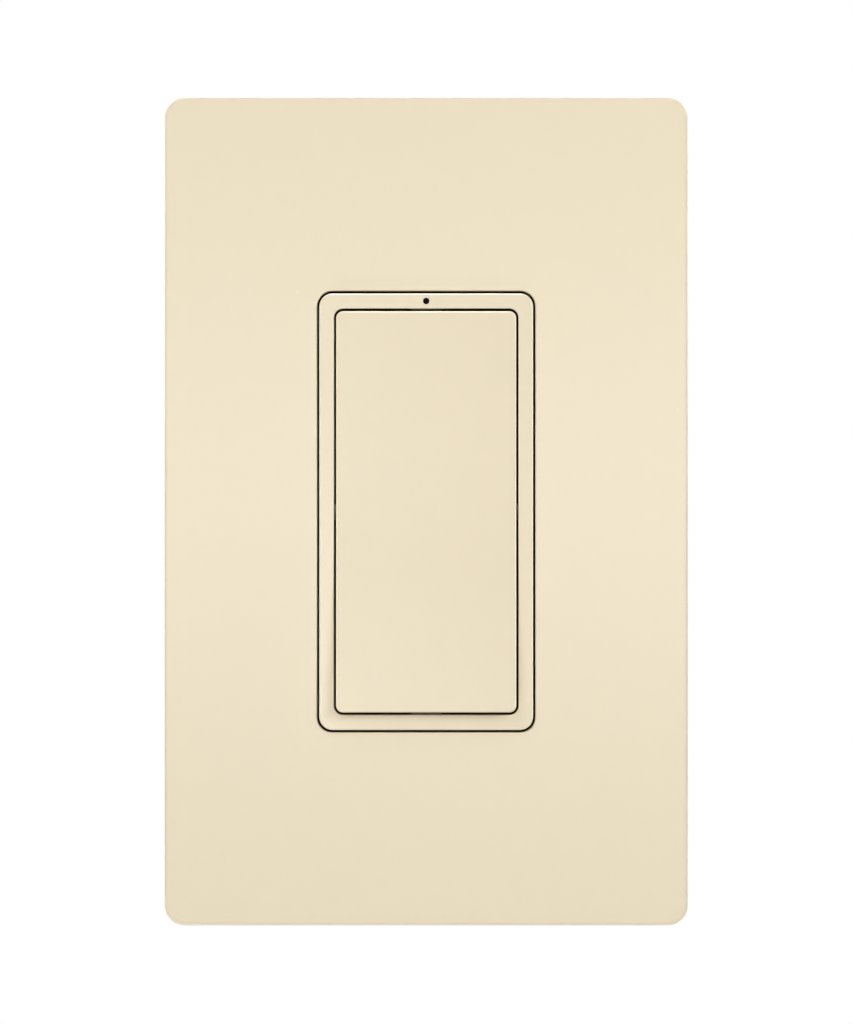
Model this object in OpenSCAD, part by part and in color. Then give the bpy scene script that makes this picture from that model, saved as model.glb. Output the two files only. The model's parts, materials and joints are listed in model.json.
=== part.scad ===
// Paddle dimmer switch with a screwless wall plate. All sizes are in millimetres.
// X runs to the right, Z up and Y into the wall, so the front faces -Y.
// The origin is the middle of the wall plate's rear rim, on the surface of the wall.

/* [Wall plate] */
// Width of the wall plate
plate_w = 79.5; // [76:0.5:86]
// Height of the wall plate
plate_h = 125.8; // [122:0.1:134]
// Depth from the wall to the middle of the face
plate_depth = 7.2; // [6.8:0.1:8.4]
// How much lower the face lies at its top and bottom edges
plate_crown = 1; // [0.4:0.1:1.4]
// Corner radius of the outline
plate_corner_r = 3.1; // [2.4:0.1:6]
// Radius of the edge between face and sides
plate_edge_r = 0.4; // [0.3:0.1:1]
// Thickness of the face and the sides
plate_wall = 1.9; // [1.5:0.1:2.2]
// Width of the window for the device
window_w = 33.1; // [32.7:0.1:33.8]
// Height of the window for the device
window_h = 67; // [66.4:0.1:68]
// Corner radius of the window
window_r = 2.3; // [1.6:0.1:3.4]
// Thickness of the lip behind the window's edge
lip_t = 1.2; // [0.8:0.1:1.8]
// Width of the slot in the lower edge for prying the plate off
pry_w = 9; // [6:0.5:12]
// Height of that slot
pry_h = 0.9; // [0.6:0.1:1.4]

/* [Sub-plate] */
// Thickness of the sub-plate
sub_t = 1.6; // [1.3:0.1:2]
// Width of a latch tongue
latch_w = 10; // [7:0.5:13]
// Distance of a latch tongue from the middle
latch_x = 20; // [16:0.5:24]
// Length of the slits beside a tongue
slit_l = 7; // [4:0.5:9]
// Width of a slit
slit_w = 1; // [0.6:0.1:1.6]
// How far a catch of the wall plate reaches inwards
catch_reach = 0.9; // [0.7:0.1:1.2]
// Width of a catch
catch_w = 8; // [5:0.5:10]
// Flat part of a catch's tip
catch_tip = 0.3; // [0.2:0.1:0.5]
// Height of the stiffening ribs
rib_rise = 0.8; // [0.4:0.1:0.9]
// Thickness of the stiffening ribs
rib_t = 1.5; // [1:0.1:2]
// Length of the stiffening ribs
rib_l = 82; // [60:1:90]
// Distance of the ribs from the sub-plate's sides
rib_inset = 5; // [3:0.5:9]

/* [Bezel] */
// Width of the bezel's side bands
band_side = 2.25; // [2.1:0.05:2.8]
// Width of the bezel's end bands
band_end = 2.33; // [2.2:0.01:3]
// How far the bezel stands out in front of the wall plate
bezel_proud = 0.3; // [0.1:0.1:0.8]
// Radius of the bezel's front edge
bezel_edge_r = 0.3; // [0.1:0.05:0.6]
// Corner radius of the well that holds the paddle
well_r = 1.37; // [1:0.01:2]
// Width of the pads at top and bottom that keep the paddle in the middle
guide_w = 4.6; // [3:0.2:8]
// Thickness of those pads
guide_t = 0.18; // [0.06:0.02:0.22]
// Height of those pads above the chassis
guide_rise = 2.6; // [2:0.1:3]
// Length of a snap hook along the bezel
hook_l = 5; // [3:0.5:7]
// Thickness of a snap hook
hook_t = 1.3; // [1:0.1:1.5]
// How far a snap hook reaches over the strap
hook_lip = 0.7; // [0.5:0.1:0.9]
// How far a snap hook stands out behind the strap
hook_rise = 1.5; // [1:0.1:2]

/* [Chassis] */
// Thickness of the chassis floor behind the paddle
floor_t = 1.2; // [1:0.1:1.5]
// Wall thickness of a plunger cup
cup_wall = 1; // [0.7:0.1:1.3]
// Thickness of a cup's bottom
cup_bottom_t = 1; // [0.7:0.1:1.2]
// Radius of the light pipe
light_r = 0.45; // [0.4:0.05:0.7]
// How far the light pipe's end lies below the bezel's face
light_inset = 0.1; // [0:0.05:0.4]
// Thickness of the light pipe's crossbar
light_bar = 0.7; // [0.5:0.1:0.8]

/* [Paddle] */
// Rise of the paddle's lower edge in front of the bezel
paddle_rise = 1.5; // [0.6:0.1:2.2]
// Distance from the middle at which the bend of the face starts and ends
paddle_blend = 8; // [3:0.5:14]
// How far the flat part of the face stands out in front of the bezel
paddle_proud = 0.05; // [0:0.01:0.3]
// Radius of the paddle's front edge
paddle_edge_r = 0.3; // [0.1:0.05:0.6]
// Thickness of the paddle's face
paddle_skin = 1.7; // [1.3:0.1:1.8]
// Thickness of the paddle's skirt
skirt_t = 1.5; // [1.2:0.1:1.9]
// Thickness of the ribs inside the paddle
paddle_rib_t = 1; // [0.8:0.1:1.4]
// Distance of those ribs from the middle
paddle_rib_x = 7; // [5:0.5:9]
// How far the paddle rocks each way, in degrees
paddle_tilt = 2; // [1:0.1:2.2]
// Radius of the pivot pins
pivot_r = 1.2; // [1:0.05:1.3]
// Length of a pivot pin beyond the paddle's side
pivot_reach = 1.8; // [1.2:0.1:1.9]
// Distance of the pivot from the chassis floor
pivot_rise = 1.9; // [1.7:0.1:2.1]
// Half the height of the ears that carry the pivot pins
ear_half = 3; // [2:0.1:4]
// Width of the legs that push the plungers
leg_w = 8; // [5:0.5:10]
// Thickness of those legs
leg_t = 1.6; // [1.2:0.1:2]

/* [Plungers and contacts] */
// Distance of the plungers above and below the pivot
plunger_z = 20; // [17:0.5:21]
// Radius of a plunger's stem
plunger_r = 1.5; // [1.2:0.1:1.7]
// Radius of a plunger's head
head_r = 2.6; // [2.4:0.1:3]
// Thickness of a plunger's head
head_t = 0.8; // [0.6:0.1:1]
// Radius of the spring at the middle of its wire
spring_r = 2.4; // [2.2:0.1:2.8]
// Diameter of the spring wire
wire_d = 0.4; // [0.3:0.05:0.5]
// Turns of a plunger spring
spring_turns = 5; // [3:0.5:5]
// Room between the spring and its cup
cup_room = 0.5; // [0.3:0.1:0.8]
// Radius of a carbon pill
pill_r = 1.2; // [1:0.1:1.3]
// Thickness of a carbon pill
pill_t = 0.6; // [0.4:0.1:0.8]
// Radius of a contact pad
pad_r = 2.2; // [1.8:0.1:3]
// Thickness of a contact pad
pad_t = 0.1; // [0.05:0.05:0.2]

/* [Strap] */
// Thickness of the strap
strap_t = 1.3; // [1:0.1:1.6]
// Distance from the strap to the wall's surface
strap_back = 0.3; // [0.2:0.1:0.5]
// How far the strap reaches past the rear housing at each side
strap_side = 0.5; // [0:0.1:2]
// How far the strap reaches past the rear housing at top and bottom
strap_end = 2; // [1.8:0.1:3]
// Overall length of the strap
strap_l = 106; // [104:0.5:108]
// Corner radius of the strap and its tongues
strap_r = 2; // [1:0.1:3]
// Width of the strap's tongues
tongue_w = 14; // [12:0.5:16]
// Radius of a plaster ear
ear_r = 5.4; // [4.6:0.1:5.8]
// How far a plaster ear runs into its tongue
ear_bite = 0.9; // [0.5:0.1:1.5]
// Distance between the screws that go into the wall box
box_pitch = 83.34; // [82:0.01:85]
// Distance between the screws that hold the sub-plate
plate_pitch = 96.84; // [95:0.01:98]
// Width of the slots for the wall box screws
slot_w = 6.5; // [5.5:0.1:8]
// Width of the grooves along which the plaster ears snap off
score_w = 0.6; // [0.3:0.1:1]
// Depth of those grooves on each face of the strap
score_t = 0.35; // [0.2:0.05:0.4]

/* [Screws] */
// Outer radius of the threads of the wall box screws and plate screws
thread_r = 1.75; // [1.5:0.05:1.9]
// Depth of those threads
thread_depth = 0.4; // [0.3:0.05:0.5]
// Length of a wall box screw under its head
box_screw_l = 25.4; // [20:0.2:32]
// Head radius of a wall box screw
box_head_r = 3.5; // [3:0.1:4]
// Head height of a wall box screw
box_head_t = 1.9; // [1.5:0.1:2.1]
// Height of the cone at a wall box screw's tip
box_tip = 1; // [0.5:0.1:2]
// Side of a square screw retainer
retainer_w = 8; // [7:0.5:9]
// Thickness of a screw retainer
retainer_t = 0.9; // [0.6:0.1:1.2]
// Head radius of a plate screw
plate_head_r = 3.4; // [3:0.1:3.8]
// How far a plate screw reaches behind the strap
plate_screw_tail = 1.9; // [1:0.1:4]
// Radius of the ground screw's thread
ground_r = 1.9; // [1.6:0.05:2.1]
// Radius of the ground screw's six-sided head
ground_head_r = 3.8; // [3.4:0.1:4]
// Height of the ground screw's head
ground_head_t = 2.4; // [2:0.1:3]
// Width of the tab that carries the ground screw
ground_w = 9; // [8:0.1:11]
// How far that tab reaches behind the strap
ground_l = 8.9; // [8.5:0.1:11]
// Distance of the ground screw from the strap's side
ground_inset = 7.75; // [6:0.05:9]
// Width of the drive slots
drive_w = 0.9; // [0.7:0.1:1.2]
// Depth of the drive slots
drive_t = 0.7; // [0.5:0.1:0.9]

/* [Rear housing] */
// Width of the rear housing
body_w = 43.5; // [42.5:0.1:44.5]
// Height of the rear housing
body_h = 67; // [65:0.1:71]
// Depth from the wall's surface to the rear face
body_depth = 30; // [28:0.5:36]
// Wall thickness of the rear housing
body_wall = 1.8; // [1.4:0.1:2]
// Corner radius of the rear housing
body_corner_r = 3; // [2:0.1:4.5]
// Bevel along the rear edges of the housing
body_bevel = 0.8; // [0.4:0.1:1.5]
// Length of the groove in the rear face that shows how far to strip a wire
gauge_l = 12; // [9:0.5:16]
// Width of that groove
gauge_w = 2.4; // [1.5:0.1:3]
// Depth of that groove
gauge_t = 0.6; // [0.3:0.1:0.9]
// Radius of a corner post
post_r = 2.8; // [2.4:0.1:3]
// Distance from the inner walls to the middle of a corner post
post_inset = 1.8; // [1.6:0.1:2.2]
// Radius of a housing screw
body_screw_r = 1.4; // [1.2:0.1:1.5]
// Head radius of a housing screw
body_head_r = 2.5; // [2.2:0.1:2.7]
// Head height of a housing screw
body_head_t = 2.2; // [1.8:0.1:2.6]
// Depth at which a housing screw's head sits
bore_depth = 3; // [2.6:0.1:5]

/* [Terminals] */
// Height of the terminals above and below the middle
term_z = 12; // [11:0.5:14]
// Half the height of a terminal pocket
pocket_half = 5.2; // [4.9:0.1:5.4]
// Depth of a terminal pocket from the side
pocket_depth = 8; // [7.6:0.1:8.6]
// Wall thickness round a terminal pocket
pocket_wall = 1.2; // [0.9:0.1:1.4]
// Thickness of the terminal metal
terminal_t = 1; // [0.8:0.1:1.2]
// Width of a terminal's tail
tail_w = 3; // [2:0.1:4]
// Gap for the wire under the clamp
wire_gap = 2.6; // [2:0.1:2.8]
// Side of a clamp plate
clamp_w = 8.4; // [7.4:0.1:9]
// Thickness of a clamp plate
clamp_t = 1.2; // [0.8:0.1:1.4]
// Radius of a terminal screw's thread
terminal_r = 1.9; // [1.6:0.05:2.1]
// Head radius of a terminal screw
screw_head_r = 3.4; // [3:0.1:3.8]
// Head height of a terminal screw
screw_head_t = 1.7; // [1.4:0.1:2]

/* [Circuit boards] */
// Thickness of both circuit boards
board_t = 1.6; // [1.2:0.1:2]
// Distance from the strap to the control board
board_gap = 5.3; // [5:0.1:6]
// Clearance round the control board
board_edge = 0.4; // [0.3:0.1:0.8]
// Distance from the control board to the terminal pockets
pocket_gap = 1.5; // [1.2:0.1:3]
// Radius of the posts that carry the control board
board_post_r = 2.6; // [2.4:0.1:2.8]
// Distance of those posts from the middle
board_post_x = 10; // [8:0.5:10.5]
// Distance from the inner walls to the middle of those posts
board_post_inset = 2.2; // [2:0.1:2.5]
// Radius of a board screw
board_screw_r = 1; // [0.8:0.1:1.2]
// Length of a board screw under its head
board_screw_l = 6; // [4:0.5:6.5]
// Head radius of a board screw
board_head_r = 1.9; // [1.6:0.1:2.1]
// Head height of a board screw
board_head_t = 1.2; // [0.8:0.1:1.5]
// Height of the standoffs behind the power board
standoff_h = 5.6; // [5:0.1:7]
// Radius of a standoff
standoff_r = 2.4; // [2:0.1:2.8]
// Distance of the standoffs from the power board's edges
standoff_edge = 3; // [2.6:0.1:3.4]

/* [Parts on the boards] */
// Distance of the status light from the control board's upper edge
led_inset = 4.2; // [3.5:0.1:5]
// Width of the status light
led_w = 1.2; // [1:0.1:2]
// Height of the status light
led_h = 0.8; // [0.6:0.1:1.6]
// Thickness of the status light
led_t = 0.6; // [0.4:0.1:0.8]
// Side of the controller chip
chip_w = 7; // [5:0.5:10]
// Thickness of the controller chip
chip_t = 1; // [0.8:0.1:1.2]
// Number of leads at each side of the chip
chip_leads = 5; // [3:1:7]
// Width of one of those leads
chip_lead_w = 0.4; // [0.3:0.05:0.6]
// Thickness of one of those leads
chip_lead_t = 0.2; // [0.1:0.05:0.3]
// How far the leads reach past the chip's sides
chip_lead_l = 1; // [0.6:0.1:1.4]
// Height of the controller chip above the middle
chip_z = 8; // [0:0.5:12]
// Thickness of the header that joins the boards
header_t = 2.6; // [2.2:0.1:3]
// Outer radius of the choke's core
core_r = 8; // [6:0.5:8.5]
// Thickness of the core's ring
core_ring = 3.5; // [2.5:0.1:4]
// Height of the core
core_h = 7; // [5:0.5:8]
// Thickness of the winding round the core
winding_t = 1; // [0.7:0.1:1.4]
// How far round the core the winding goes, in degrees
winding_angle = 300; // [240:5:330]
// Width of the film capacitor
film_w = 17; // [13:0.5:18]
// Thickness of the film capacitor
film_t = 6.8; // [5:0.1:8]
// Height of the film capacitor
film_h = 12; // [8:0.5:12.5]
// Corner radius of the film capacitor
film_corner_r = 1; // [0.5:0.1:2]
// Radius of the supply capacitor
supply_r = 4; // [3:0.1:4.4]
// Height of the supply capacitor
supply_h = 11.5; // [8:0.5:12.5]
// Depth of the groove that is crimped round its foot
crimp_t = 0.4; // [0.2:0.1:0.6]
// Width of that groove
crimp_w = 0.9; // [0.5:0.1:1.5]
// Height of that groove above the board
crimp_rise = 1.4; // [1:0.1:2]
// Radius of the surge disc
disc_r = 4.5; // [3.5:0.1:5]
// Thickness of the surge disc
disc_t = 3.6; // [2.5:0.1:4.5]
// Distance of both from the middle
parts_x = 5.3; // [4.8:0.1:6]
// Gap between neighbouring parts on the power board
part_gap = 1.2; // [0.8:0.1:1.5]

/* [Triac] */
// Width of the triac
triac_w = 10.2; // [9.5:0.1:10.6]
// Thickness of the triac's case
triac_t = 4.4; // [4:0.1:4.6]
// Length of the triac's case
case_l = 9; // [8.5:0.1:9.5]
// Length of the triac's tab
tab_l = 6; // [5.6:0.1:6.6]
// Thickness of the triac's tab
tab_t = 1.3; // [1:0.1:1.4]
// Distance of the triac's tab from the middle
triac_x = 9.5; // [8:0.5:11]
// Distance of the rivet from the tab's end
rivet_inset = 2.8; // [2.7:0.1:3]
// Radius of the rivet
rivet_r = 1.5; // [1.2:0.1:1.6]
// Head radius of the rivet
rivet_head_r = 2.7; // [2.3:0.1:2.7]
// Head height of the rivet
rivet_head_t = 0.8; // [0.5:0.1:1]
// Distance between the triac's leads
lead_pitch = 2.54; // [2.3:0.01:2.7]
// Width of a lead
lead_w = 0.7; // [0.5:0.1:0.9]
// Thickness of a lead
lead_t = 0.5; // [0.4:0.05:0.6]
// Distance from the strap to the middle of the leads
lead_rise = 2.5; // [2:0.1:2.8]
// Distance from the control board's side to the leads
lead_gap = 2.2; // [1.5:0.1:2.8]

/* [Clearances] */
// Visible gap at the sides of the bezel and of the paddle
face_gap = 0.3; // [0.25:0.01:0.35]
// Visible gap above and below the bezel
end_gap = 0.33; // [0.28:0.01:0.38]
// Visible gap above and below the paddle
paddle_end_gap = 0.36; // [0.3:0.01:0.42]
// Running clearance of pins, stems and screws
fit = 0.05; // [0.02:0.01:0.09]
// Clearance of parts that drop into place
slip = 0.2; // [0.1:0.05:0.25]
// Gap that is left between a pushed contact and its pad, and between a leg and its plunger at rest
touch = 0.03; // [0.01:0.01:0.05]
// Gap that is left between the rocking paddle and the chassis floor
skirt_gap = 0.15; // [0.1:0.05:0.3]
// Gap between the wall plate's catches and the sub-plate
catch_gap = 0.15; // [0.1:0.05:0.2]
// Gap between the wall plate's sides and the sub-plate
sub_gap = 0.5; // [0.3:0.1:0.6]

/* [Hidden] */
$fn = 48;
cut = 1;
corner_steps = 6;
side_steps = 24;
edge_steps = 3;
lean_steps = 12;
wire_sides = 6;
rings_per_turn = 10;

// Levels from the strap to the front of the device
strap_y1 = -strap_back;
strap_y0 = strap_y1 - strap_t;
sub_y1 = strap_y0;
sub_y0 = sub_y1 - sub_t;
floor_y0 = strap_y0 - floor_t;
face_y = -(plate_depth + bezel_proud);
paddle_y = face_y - paddle_proud;

// Wall plate's hollow, its catches and the sub-plate in it
hollow_w = plate_w - 2 * plate_wall;
hollow_h = plate_h - 2 * plate_wall;
hollow_r = max(plate_corner_r - plate_wall, catch_tip);
sub_w = hollow_w - 2 * sub_gap;
sub_h = hollow_h - 2 * sub_gap;
catch_y0 = sub_y1 + catch_gap;
catch_y1 = -strap_back;
plate_head_t = sub_t - slip;

// Bezel and paddle outlines, each a gap smaller than what surrounds it
bezel_w = window_w - 2 * face_gap;
bezel_h = window_h - 2 * end_gap;
bezel_r = window_r - face_gap;
well_w = bezel_w - 2 * band_side;
well_h = bezel_h - 2 * band_end;
paddle_w = well_w - 2 * face_gap;
paddle_h = well_h - 2 * paddle_end_gap;
paddle_r = well_r - face_gap;
light_z = well_h / 2 + band_end / 2;

// Rear housing's inside, its posts and what the strap takes from them
inner_w = body_w - 2 * body_wall;
inner_h = body_h - 2 * body_wall;
body_y0 = strap_y1;
body_y1 = body_depth;
floor_in_y = body_y1 - body_wall;
post_x = inner_w / 2 - post_inset;
post_z = inner_h / 2 - post_inset;
strap_w = body_w + 2 * strap_side;
strap_h = body_h + 2 * strap_end;
ear_x = tongue_w / 2 + ear_r - ear_bite;
ear_z = strap_l / 2 - ear_r;
slot_h = 2 * thread_r + 4 * slip;
neck_r = thread_r - thread_depth;
thread_y0 = strap_y1 + retainer_t + 4 * slip;
thread_y1 = strap_y0 + box_screw_l;
ground_x = ground_inset - strap_w / 2;
ground_y = strap_y1 + ground_l / 2;

// Snap hooks, just inside the bezel's sides and clear of the corner posts
hook_x = well_w / 2 + slip;
hook_z = post_z - post_r - hook_lip - slip - hook_l / 2;
hook_y0 = strap_y1 + fit;
hook_y1 = strap_y1 + hook_rise;

// Circuit boards
board_w = 2 * (post_x - post_r - board_edge);
board_h = inner_h - 2 * board_edge;
board_y0 = strap_y1 + board_gap;
board_y1 = board_y0 + board_t;
board_post_z = inner_h / 2 - board_post_inset;
led_z = board_h / 2 - led_inset;
pocket_x = body_w / 2 - pocket_depth;
power_w = 2 * (pocket_x - pocket_wall - board_edge);
power_h = 2 * (board_post_z - board_post_r - slip);
power_y1 = floor_in_y - standoff_h;
power_y0 = power_y1 - board_t;
standoff_x = power_w / 2 - standoff_edge;
standoff_z = power_h / 2 - standoff_edge;

// Paddle mechanism: the plungers travel as far as the paddle's legs push them
press = plunger_z * sin(paddle_tilt);
pivot_y = floor_y0 - pivot_rise;
skirt_y1 = floor_y0 - paddle_h / 2 * sin(paddle_tilt) - skirt_gap;
ear_y1 = floor_y0 - ear_half * sin(paddle_tilt) - skirt_gap;
head_y1 = pivot_y + head_t;
pill_y1 = board_y0 - pad_t - press - touch;
stem_y1 = pill_y1 - pill_t;
cup_y1 = stem_y1 - press - pill_t;
cup_r = spring_r + wire_d / 2 + cup_room;
spring_y0 = head_y1 + fit + wire_d / 2;
spring_y1 = cup_y1 - cup_bottom_t - fit - wire_d / 2;
spring_pitch = (spring_y1 - spring_y0) / spring_turns;
spring_rings = rings_per_turn * spring_turns;

// Terminals, each given by its side and by whether it lies above or below the middle
TERMINALS = [[-1, 1], [-1, -1], [1, 1]];
pocket_y0 = board_y1 + pocket_gap;
pocket_in_y = pocket_y0 + pocket_wall;
term_y = pocket_in_y + 2 * slip + clamp_w / 2;
clamp_x = pocket_x + terminal_t + wire_gap;
screw_head_x = clamp_x + clamp_t;
tail_y0 = term_y + clamp_w / 2 + 3 * slip;
tail_x = power_w / 2 - terminal_t - slip;

// Parts on the power board, stacked downwards from the header
header_w = 2 * (standoff_x - board_head_r - 4 * slip);
header_z = standoff_z;
choke_r = core_r + winding_t;
choke_z = header_z - header_t / 2 - part_gap - choke_r;
film_z = choke_z - choke_r - part_gap - film_t / 2;
parts_z = film_z - film_t / 2 - part_gap - disc_r;
core_y1 = power_y0 - winding_t - fit;
core_y0 = core_y1 - core_h;

// Triac on the strap, with leads that bend back to the power board
case_x = tab_l - triac_x;
rivet_x = rivet_inset - triac_x;
lead_x = board_w / 2 + lead_gap;
lead_y = strap_y1 + lead_rise;

// Shapes that repeat

// A flat shape drawn in X and Z, with its thickness along Y
module along_y(y0, y1) {
  translate([0, y1, 0]) rotate([90, 0, 0]) linear_extrude(y1 - y0) children();
}

// A profile drawn in Y and Z, drawn out along X
module along_x(x0, x1) {
  translate([x0, 0, 0]) rotate([90, 0, 90]) linear_extrude(x1 - x0) children();
}

module block(x0, x1, y0, y1, z0, z1) {
  translate([x0, y0, z0]) cube([x1 - x0, y1 - y0, z1 - z0]);
}

module rod_y(r, y0, y1, x = 0, z = 0) {
  translate([x, y1, z]) rotate([90, 0, 0]) cylinder(r = r, h = y1 - y0);
}

module rod_x(r, x0, x1, y = 0, z = 0) {
  translate([x0, y, z]) rotate([0, 90, 0]) cylinder(r = r, h = x1 - x0);
}

module rod_z(r, z0, z1, x = 0, y = 0) {
  translate([x, y, z0]) cylinder(r = r, h = z1 - z0);
}

// A cone along Y, with radius r0 at its front end and r1 at its rear end
module cone_y(r0, r1, y0, y1, x = 0, z = 0) {
  translate([x, y1, z]) rotate([90, 0, 0]) cylinder(r1 = r1, r2 = r0, h = y1 - y0);
}

module both_x() {
  children();
  mirror([1, 0, 0]) children();
}

module both_z() {
  children();
  mirror([0, 0, 1]) children();
}

module rounded_rect(w, h, r) {
  square([w - 2 * r, h], center = true);
  square([w, h - 2 * r], center = true);
  for (x = [-1, 1], z = [-1, 1]) translate([x * (w / 2 - r), z * (h / 2 - r)]) circle(r);
}

// A hole lengthened sideways
module slot(w, h) {
  square([w - h, h], center = true);
  for (x = [-1, 1]) translate([x * (w - h) / 2, 0]) circle(h / 2);
}

// Wall plate

// Place of a front face along Y at a height z
plate_front = function(z) plate_crown * pow(2 * z / plate_h, 2) - plate_depth;
bezel_front = function(z) face_y;
paddle_front = function(z) paddle_y - paddle_rise * lean(z) / (paddle_h / 2);

function corner(x, z, r, a0) = [
  for (i = [0 : corner_steps]) let (a = a0 + 90 * i / corner_steps) [x + r * cos(a), z + r * sin(a)]
];

// Right half of a rounded outline, from bottom to top
function right_half(w, h, r) = concat(
  corner(w / 2 - r, r - h / 2, r, -90),
  [for (i = [1 : side_steps - 1]) [w / 2, (h - 2 * r) * (i / side_steps - 1 / 2)]],
  corner(w / 2 - r, h / 2 - r, r, 0)
);

function outline(w, h, r) = let (half = right_half(w, h, r), n = len(half)) concat(
  half, [for (i = [1 : n]) [-half[n - i][0], half[n - i][1]]]
);

// A rounded outline whose points lie at a depth that depends on their height
function ring(w, h, r, depth) = [for (p = outline(w, h, r)) [p[0], depth(p[1]), p[1]]];

// Rings that turn from the sides over a rounded edge onto a front face
function edge_rings(w, h, corner_r, edge_r, front) = [
  for (i = [0 : edge_steps])
    let (a = 90 * i / edge_steps, inset = edge_r * (1 - cos(a)), back = edge_r * (1 - sin(a)))
      ring(w - 2 * inset, h - 2 * inset, corner_r - inset, function(z) front(z) + back)
];

// A closed skin over rings that run from the rear to the front
module skin(rings) {
  n = len(rings[0]);
  last = len(rings) - 1;
  walls = [
    for (k = [0 : last - 1], j = [0 : n - 1])
      let (a = k * n + j, b = k * n + (j + 1) % n) each [[a, b + n, b], [a, a + n, b + n]]
  ];
  front = [
    for (i = [0 : n / 2 - 2])
      let (a = last * n + i, b = last * n + n - 1 - i) each [[a, b, b - 1], [a, b - 1, a + 1]]
  ];
  rear = [
    for (i = [0 : n / 2 - 2]) let (b = n - 1 - i) each [[i, b - 1, b], [i, i + 1, b - 1]]
  ];
  polyhedron([for (ring = rings) each ring], concat(walls, front, rear));
}

// A block with a flat rear and a rounded edge round its front face
module faced_block(w, h, corner_r, edge_r, front, rear) {
  skin(concat([ring(w, h, corner_r, function(z) rear)], edge_rings(w, h, corner_r, edge_r, front)));
}

// Hollow behind the face, which follows the crown
module plate_hollow() {
  intersection() {
    along_y(-plate_depth, cut) rounded_rect(hollow_w, hollow_h, hollow_r);
    along_x(-plate_w / 2, plate_w / 2) polygon(concat(
      [[cut, -plate_h / 2]],
      [
        for (i = [0 : side_steps])
          let (z = plate_h * (i / side_steps - 1 / 2)) [plate_wall + plate_front(z), z]
      ],
      [[cut, plate_h / 2]]
    ));
  }
}

// Ramped catch on the top wall, behind a latch tongue
module plate_catch() {
  root = hollow_h / 2 + plate_wall / 3;
  tip = hollow_h / 2 - catch_reach;
  along_x(latch_x - catch_w / 2, latch_x + catch_w / 2) polygon([
    [catch_y0, root],
    [catch_y0, tip],
    [catch_y0 + catch_tip, tip],
    [catch_y1, hollow_h / 2],
    [catch_y1, root]
  ]);
}

module wall_plate() color([0.92, 0.87, 0.77]) {
  difference() {
    faced_block(plate_w, plate_h, plate_corner_r, plate_edge_r, plate_front, 0);
    difference() {
      plate_hollow();
      along_y(-plate_depth, sub_y0 - slip)
        rounded_rect(window_w + 2 * lip_t, window_h + 2 * lip_t, window_r + lip_t);
    }
    along_y(-plate_depth - cut, cut) rounded_rect(window_w, window_h, window_r);
    block(-pry_w / 2, pry_w / 2, -pry_h, cut, -plate_h / 2 - cut, cut - hollow_h / 2);
  }
  both_x() both_z() plate_catch();
}

// Sub-plate and its screws

module latch_slits() {
  for (x = [-1, 1])
    translate([latch_x + x * (latch_w + slit_w) / 2, 0, 0])
      block(-slit_w / 2, slit_w / 2, sub_y0 - cut, sub_y1 + cut, sub_h / 2 - slit_l, sub_h / 2 + cut);
}

module sub_plate() color([0.18, 0.18, 0.19]) {
  difference() {
    along_y(sub_y0, sub_y1) rounded_rect(sub_w, sub_h, hollow_r);
    along_y(sub_y0 - cut, sub_y1 + cut)
      rounded_rect(bezel_w + 4 * fit, bezel_h + 4 * fit, bezel_r + 2 * fit);
    both_x() both_z() latch_slits();
    both_z() {
      rod_y(box_head_r + 4 * slip, sub_y0 - cut, sub_y1 + cut, 0, box_pitch / 2);
      rod_y(thread_r + slip, sub_y0 - cut, sub_y1 + cut, 0, plate_pitch / 2);
      cone_y(plate_head_r + slip, thread_r + slip, sub_y0, sub_y0 + plate_head_t, 0, plate_pitch / 2);
    }
  }
  both_x() block(sub_w / 2 - rib_inset - rib_t, sub_w / 2 - rib_inset, sub_y0 - rib_rise, sub_y0 + sub_t / 2,
    -rib_l / 2, rib_l / 2);
}

module plate_screws() color("silver") both_z() {
  head_y = sub_y0 + slip / 2;
  difference() {
    union() {
      cone_y(plate_head_r, thread_r, head_y, head_y + plate_head_t, 0, plate_pitch / 2);
      rod_y(thread_r, sub_y0 + plate_head_t, strap_y1 + plate_screw_tail, 0, plate_pitch / 2);
    }
    translate([0, 0, plate_pitch / 2])
      block(-plate_head_r, plate_head_r, head_y - cut, head_y + drive_t, -drive_w / 2, drive_w / 2);
  }
}

// Strap and the screws in it

module strap_outline() {
  rounded_rect(strap_w, strap_h, strap_r);
  rounded_rect(tongue_w, strap_l, strap_r);
  for (x = [-1, 1], z = [-1, 1]) translate([x * ear_x, z * ear_z]) circle(ear_r);
}

module strap_hole(r, x, z) {
  rod_y(r, strap_y0 - cut, strap_y1 + cut, x, z);
}

module strap_holes() {
  both_z() {
    strap_hole(cup_r + cup_wall + slip, 0, plunger_z);
    strap_hole(thread_r + fit, 0, plate_pitch / 2);
    translate([0, 0, box_pitch / 2]) along_y(strap_y0 - cut, strap_y1 + cut) slot(slot_w, slot_h);
  }
  both_x() both_z() {
    strap_hole(body_screw_r + fit, post_x, post_z);
    hook_room(hook_x + hook_t + slip, strap_y0, strap_y1);
  }
  strap_hole(light_r + 2 * slip, 0, led_z);
  strap_hole(rivet_r + fit, rivet_x, 0);
}

// Grooves beside the tongues, on both faces
module ear_scores() {
  x0 = tongue_w / 2;
  both_x() both_z() for (y = [strap_y0, strap_y1])
    block(x0, x0 + score_w, y - score_t, y + score_t, ear_z - ear_r, ear_z + ear_r);
}

module strap() color("gainsboro") {
  difference() {
    union() {
      along_y(strap_y0, strap_y1) strap_outline();
      block(ground_x - ground_w / 2, ground_x + ground_w / 2, strap_y0, strap_y1 + ground_l,
        -strap_h / 2, strap_t - strap_h / 2);
    }
    strap_holes();
    ear_scores();
    rod_z(ground_r + fit, -strap_h / 2 - cut, strap_t - strap_h / 2 + cut, ground_x, ground_y);
  }
}

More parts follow.
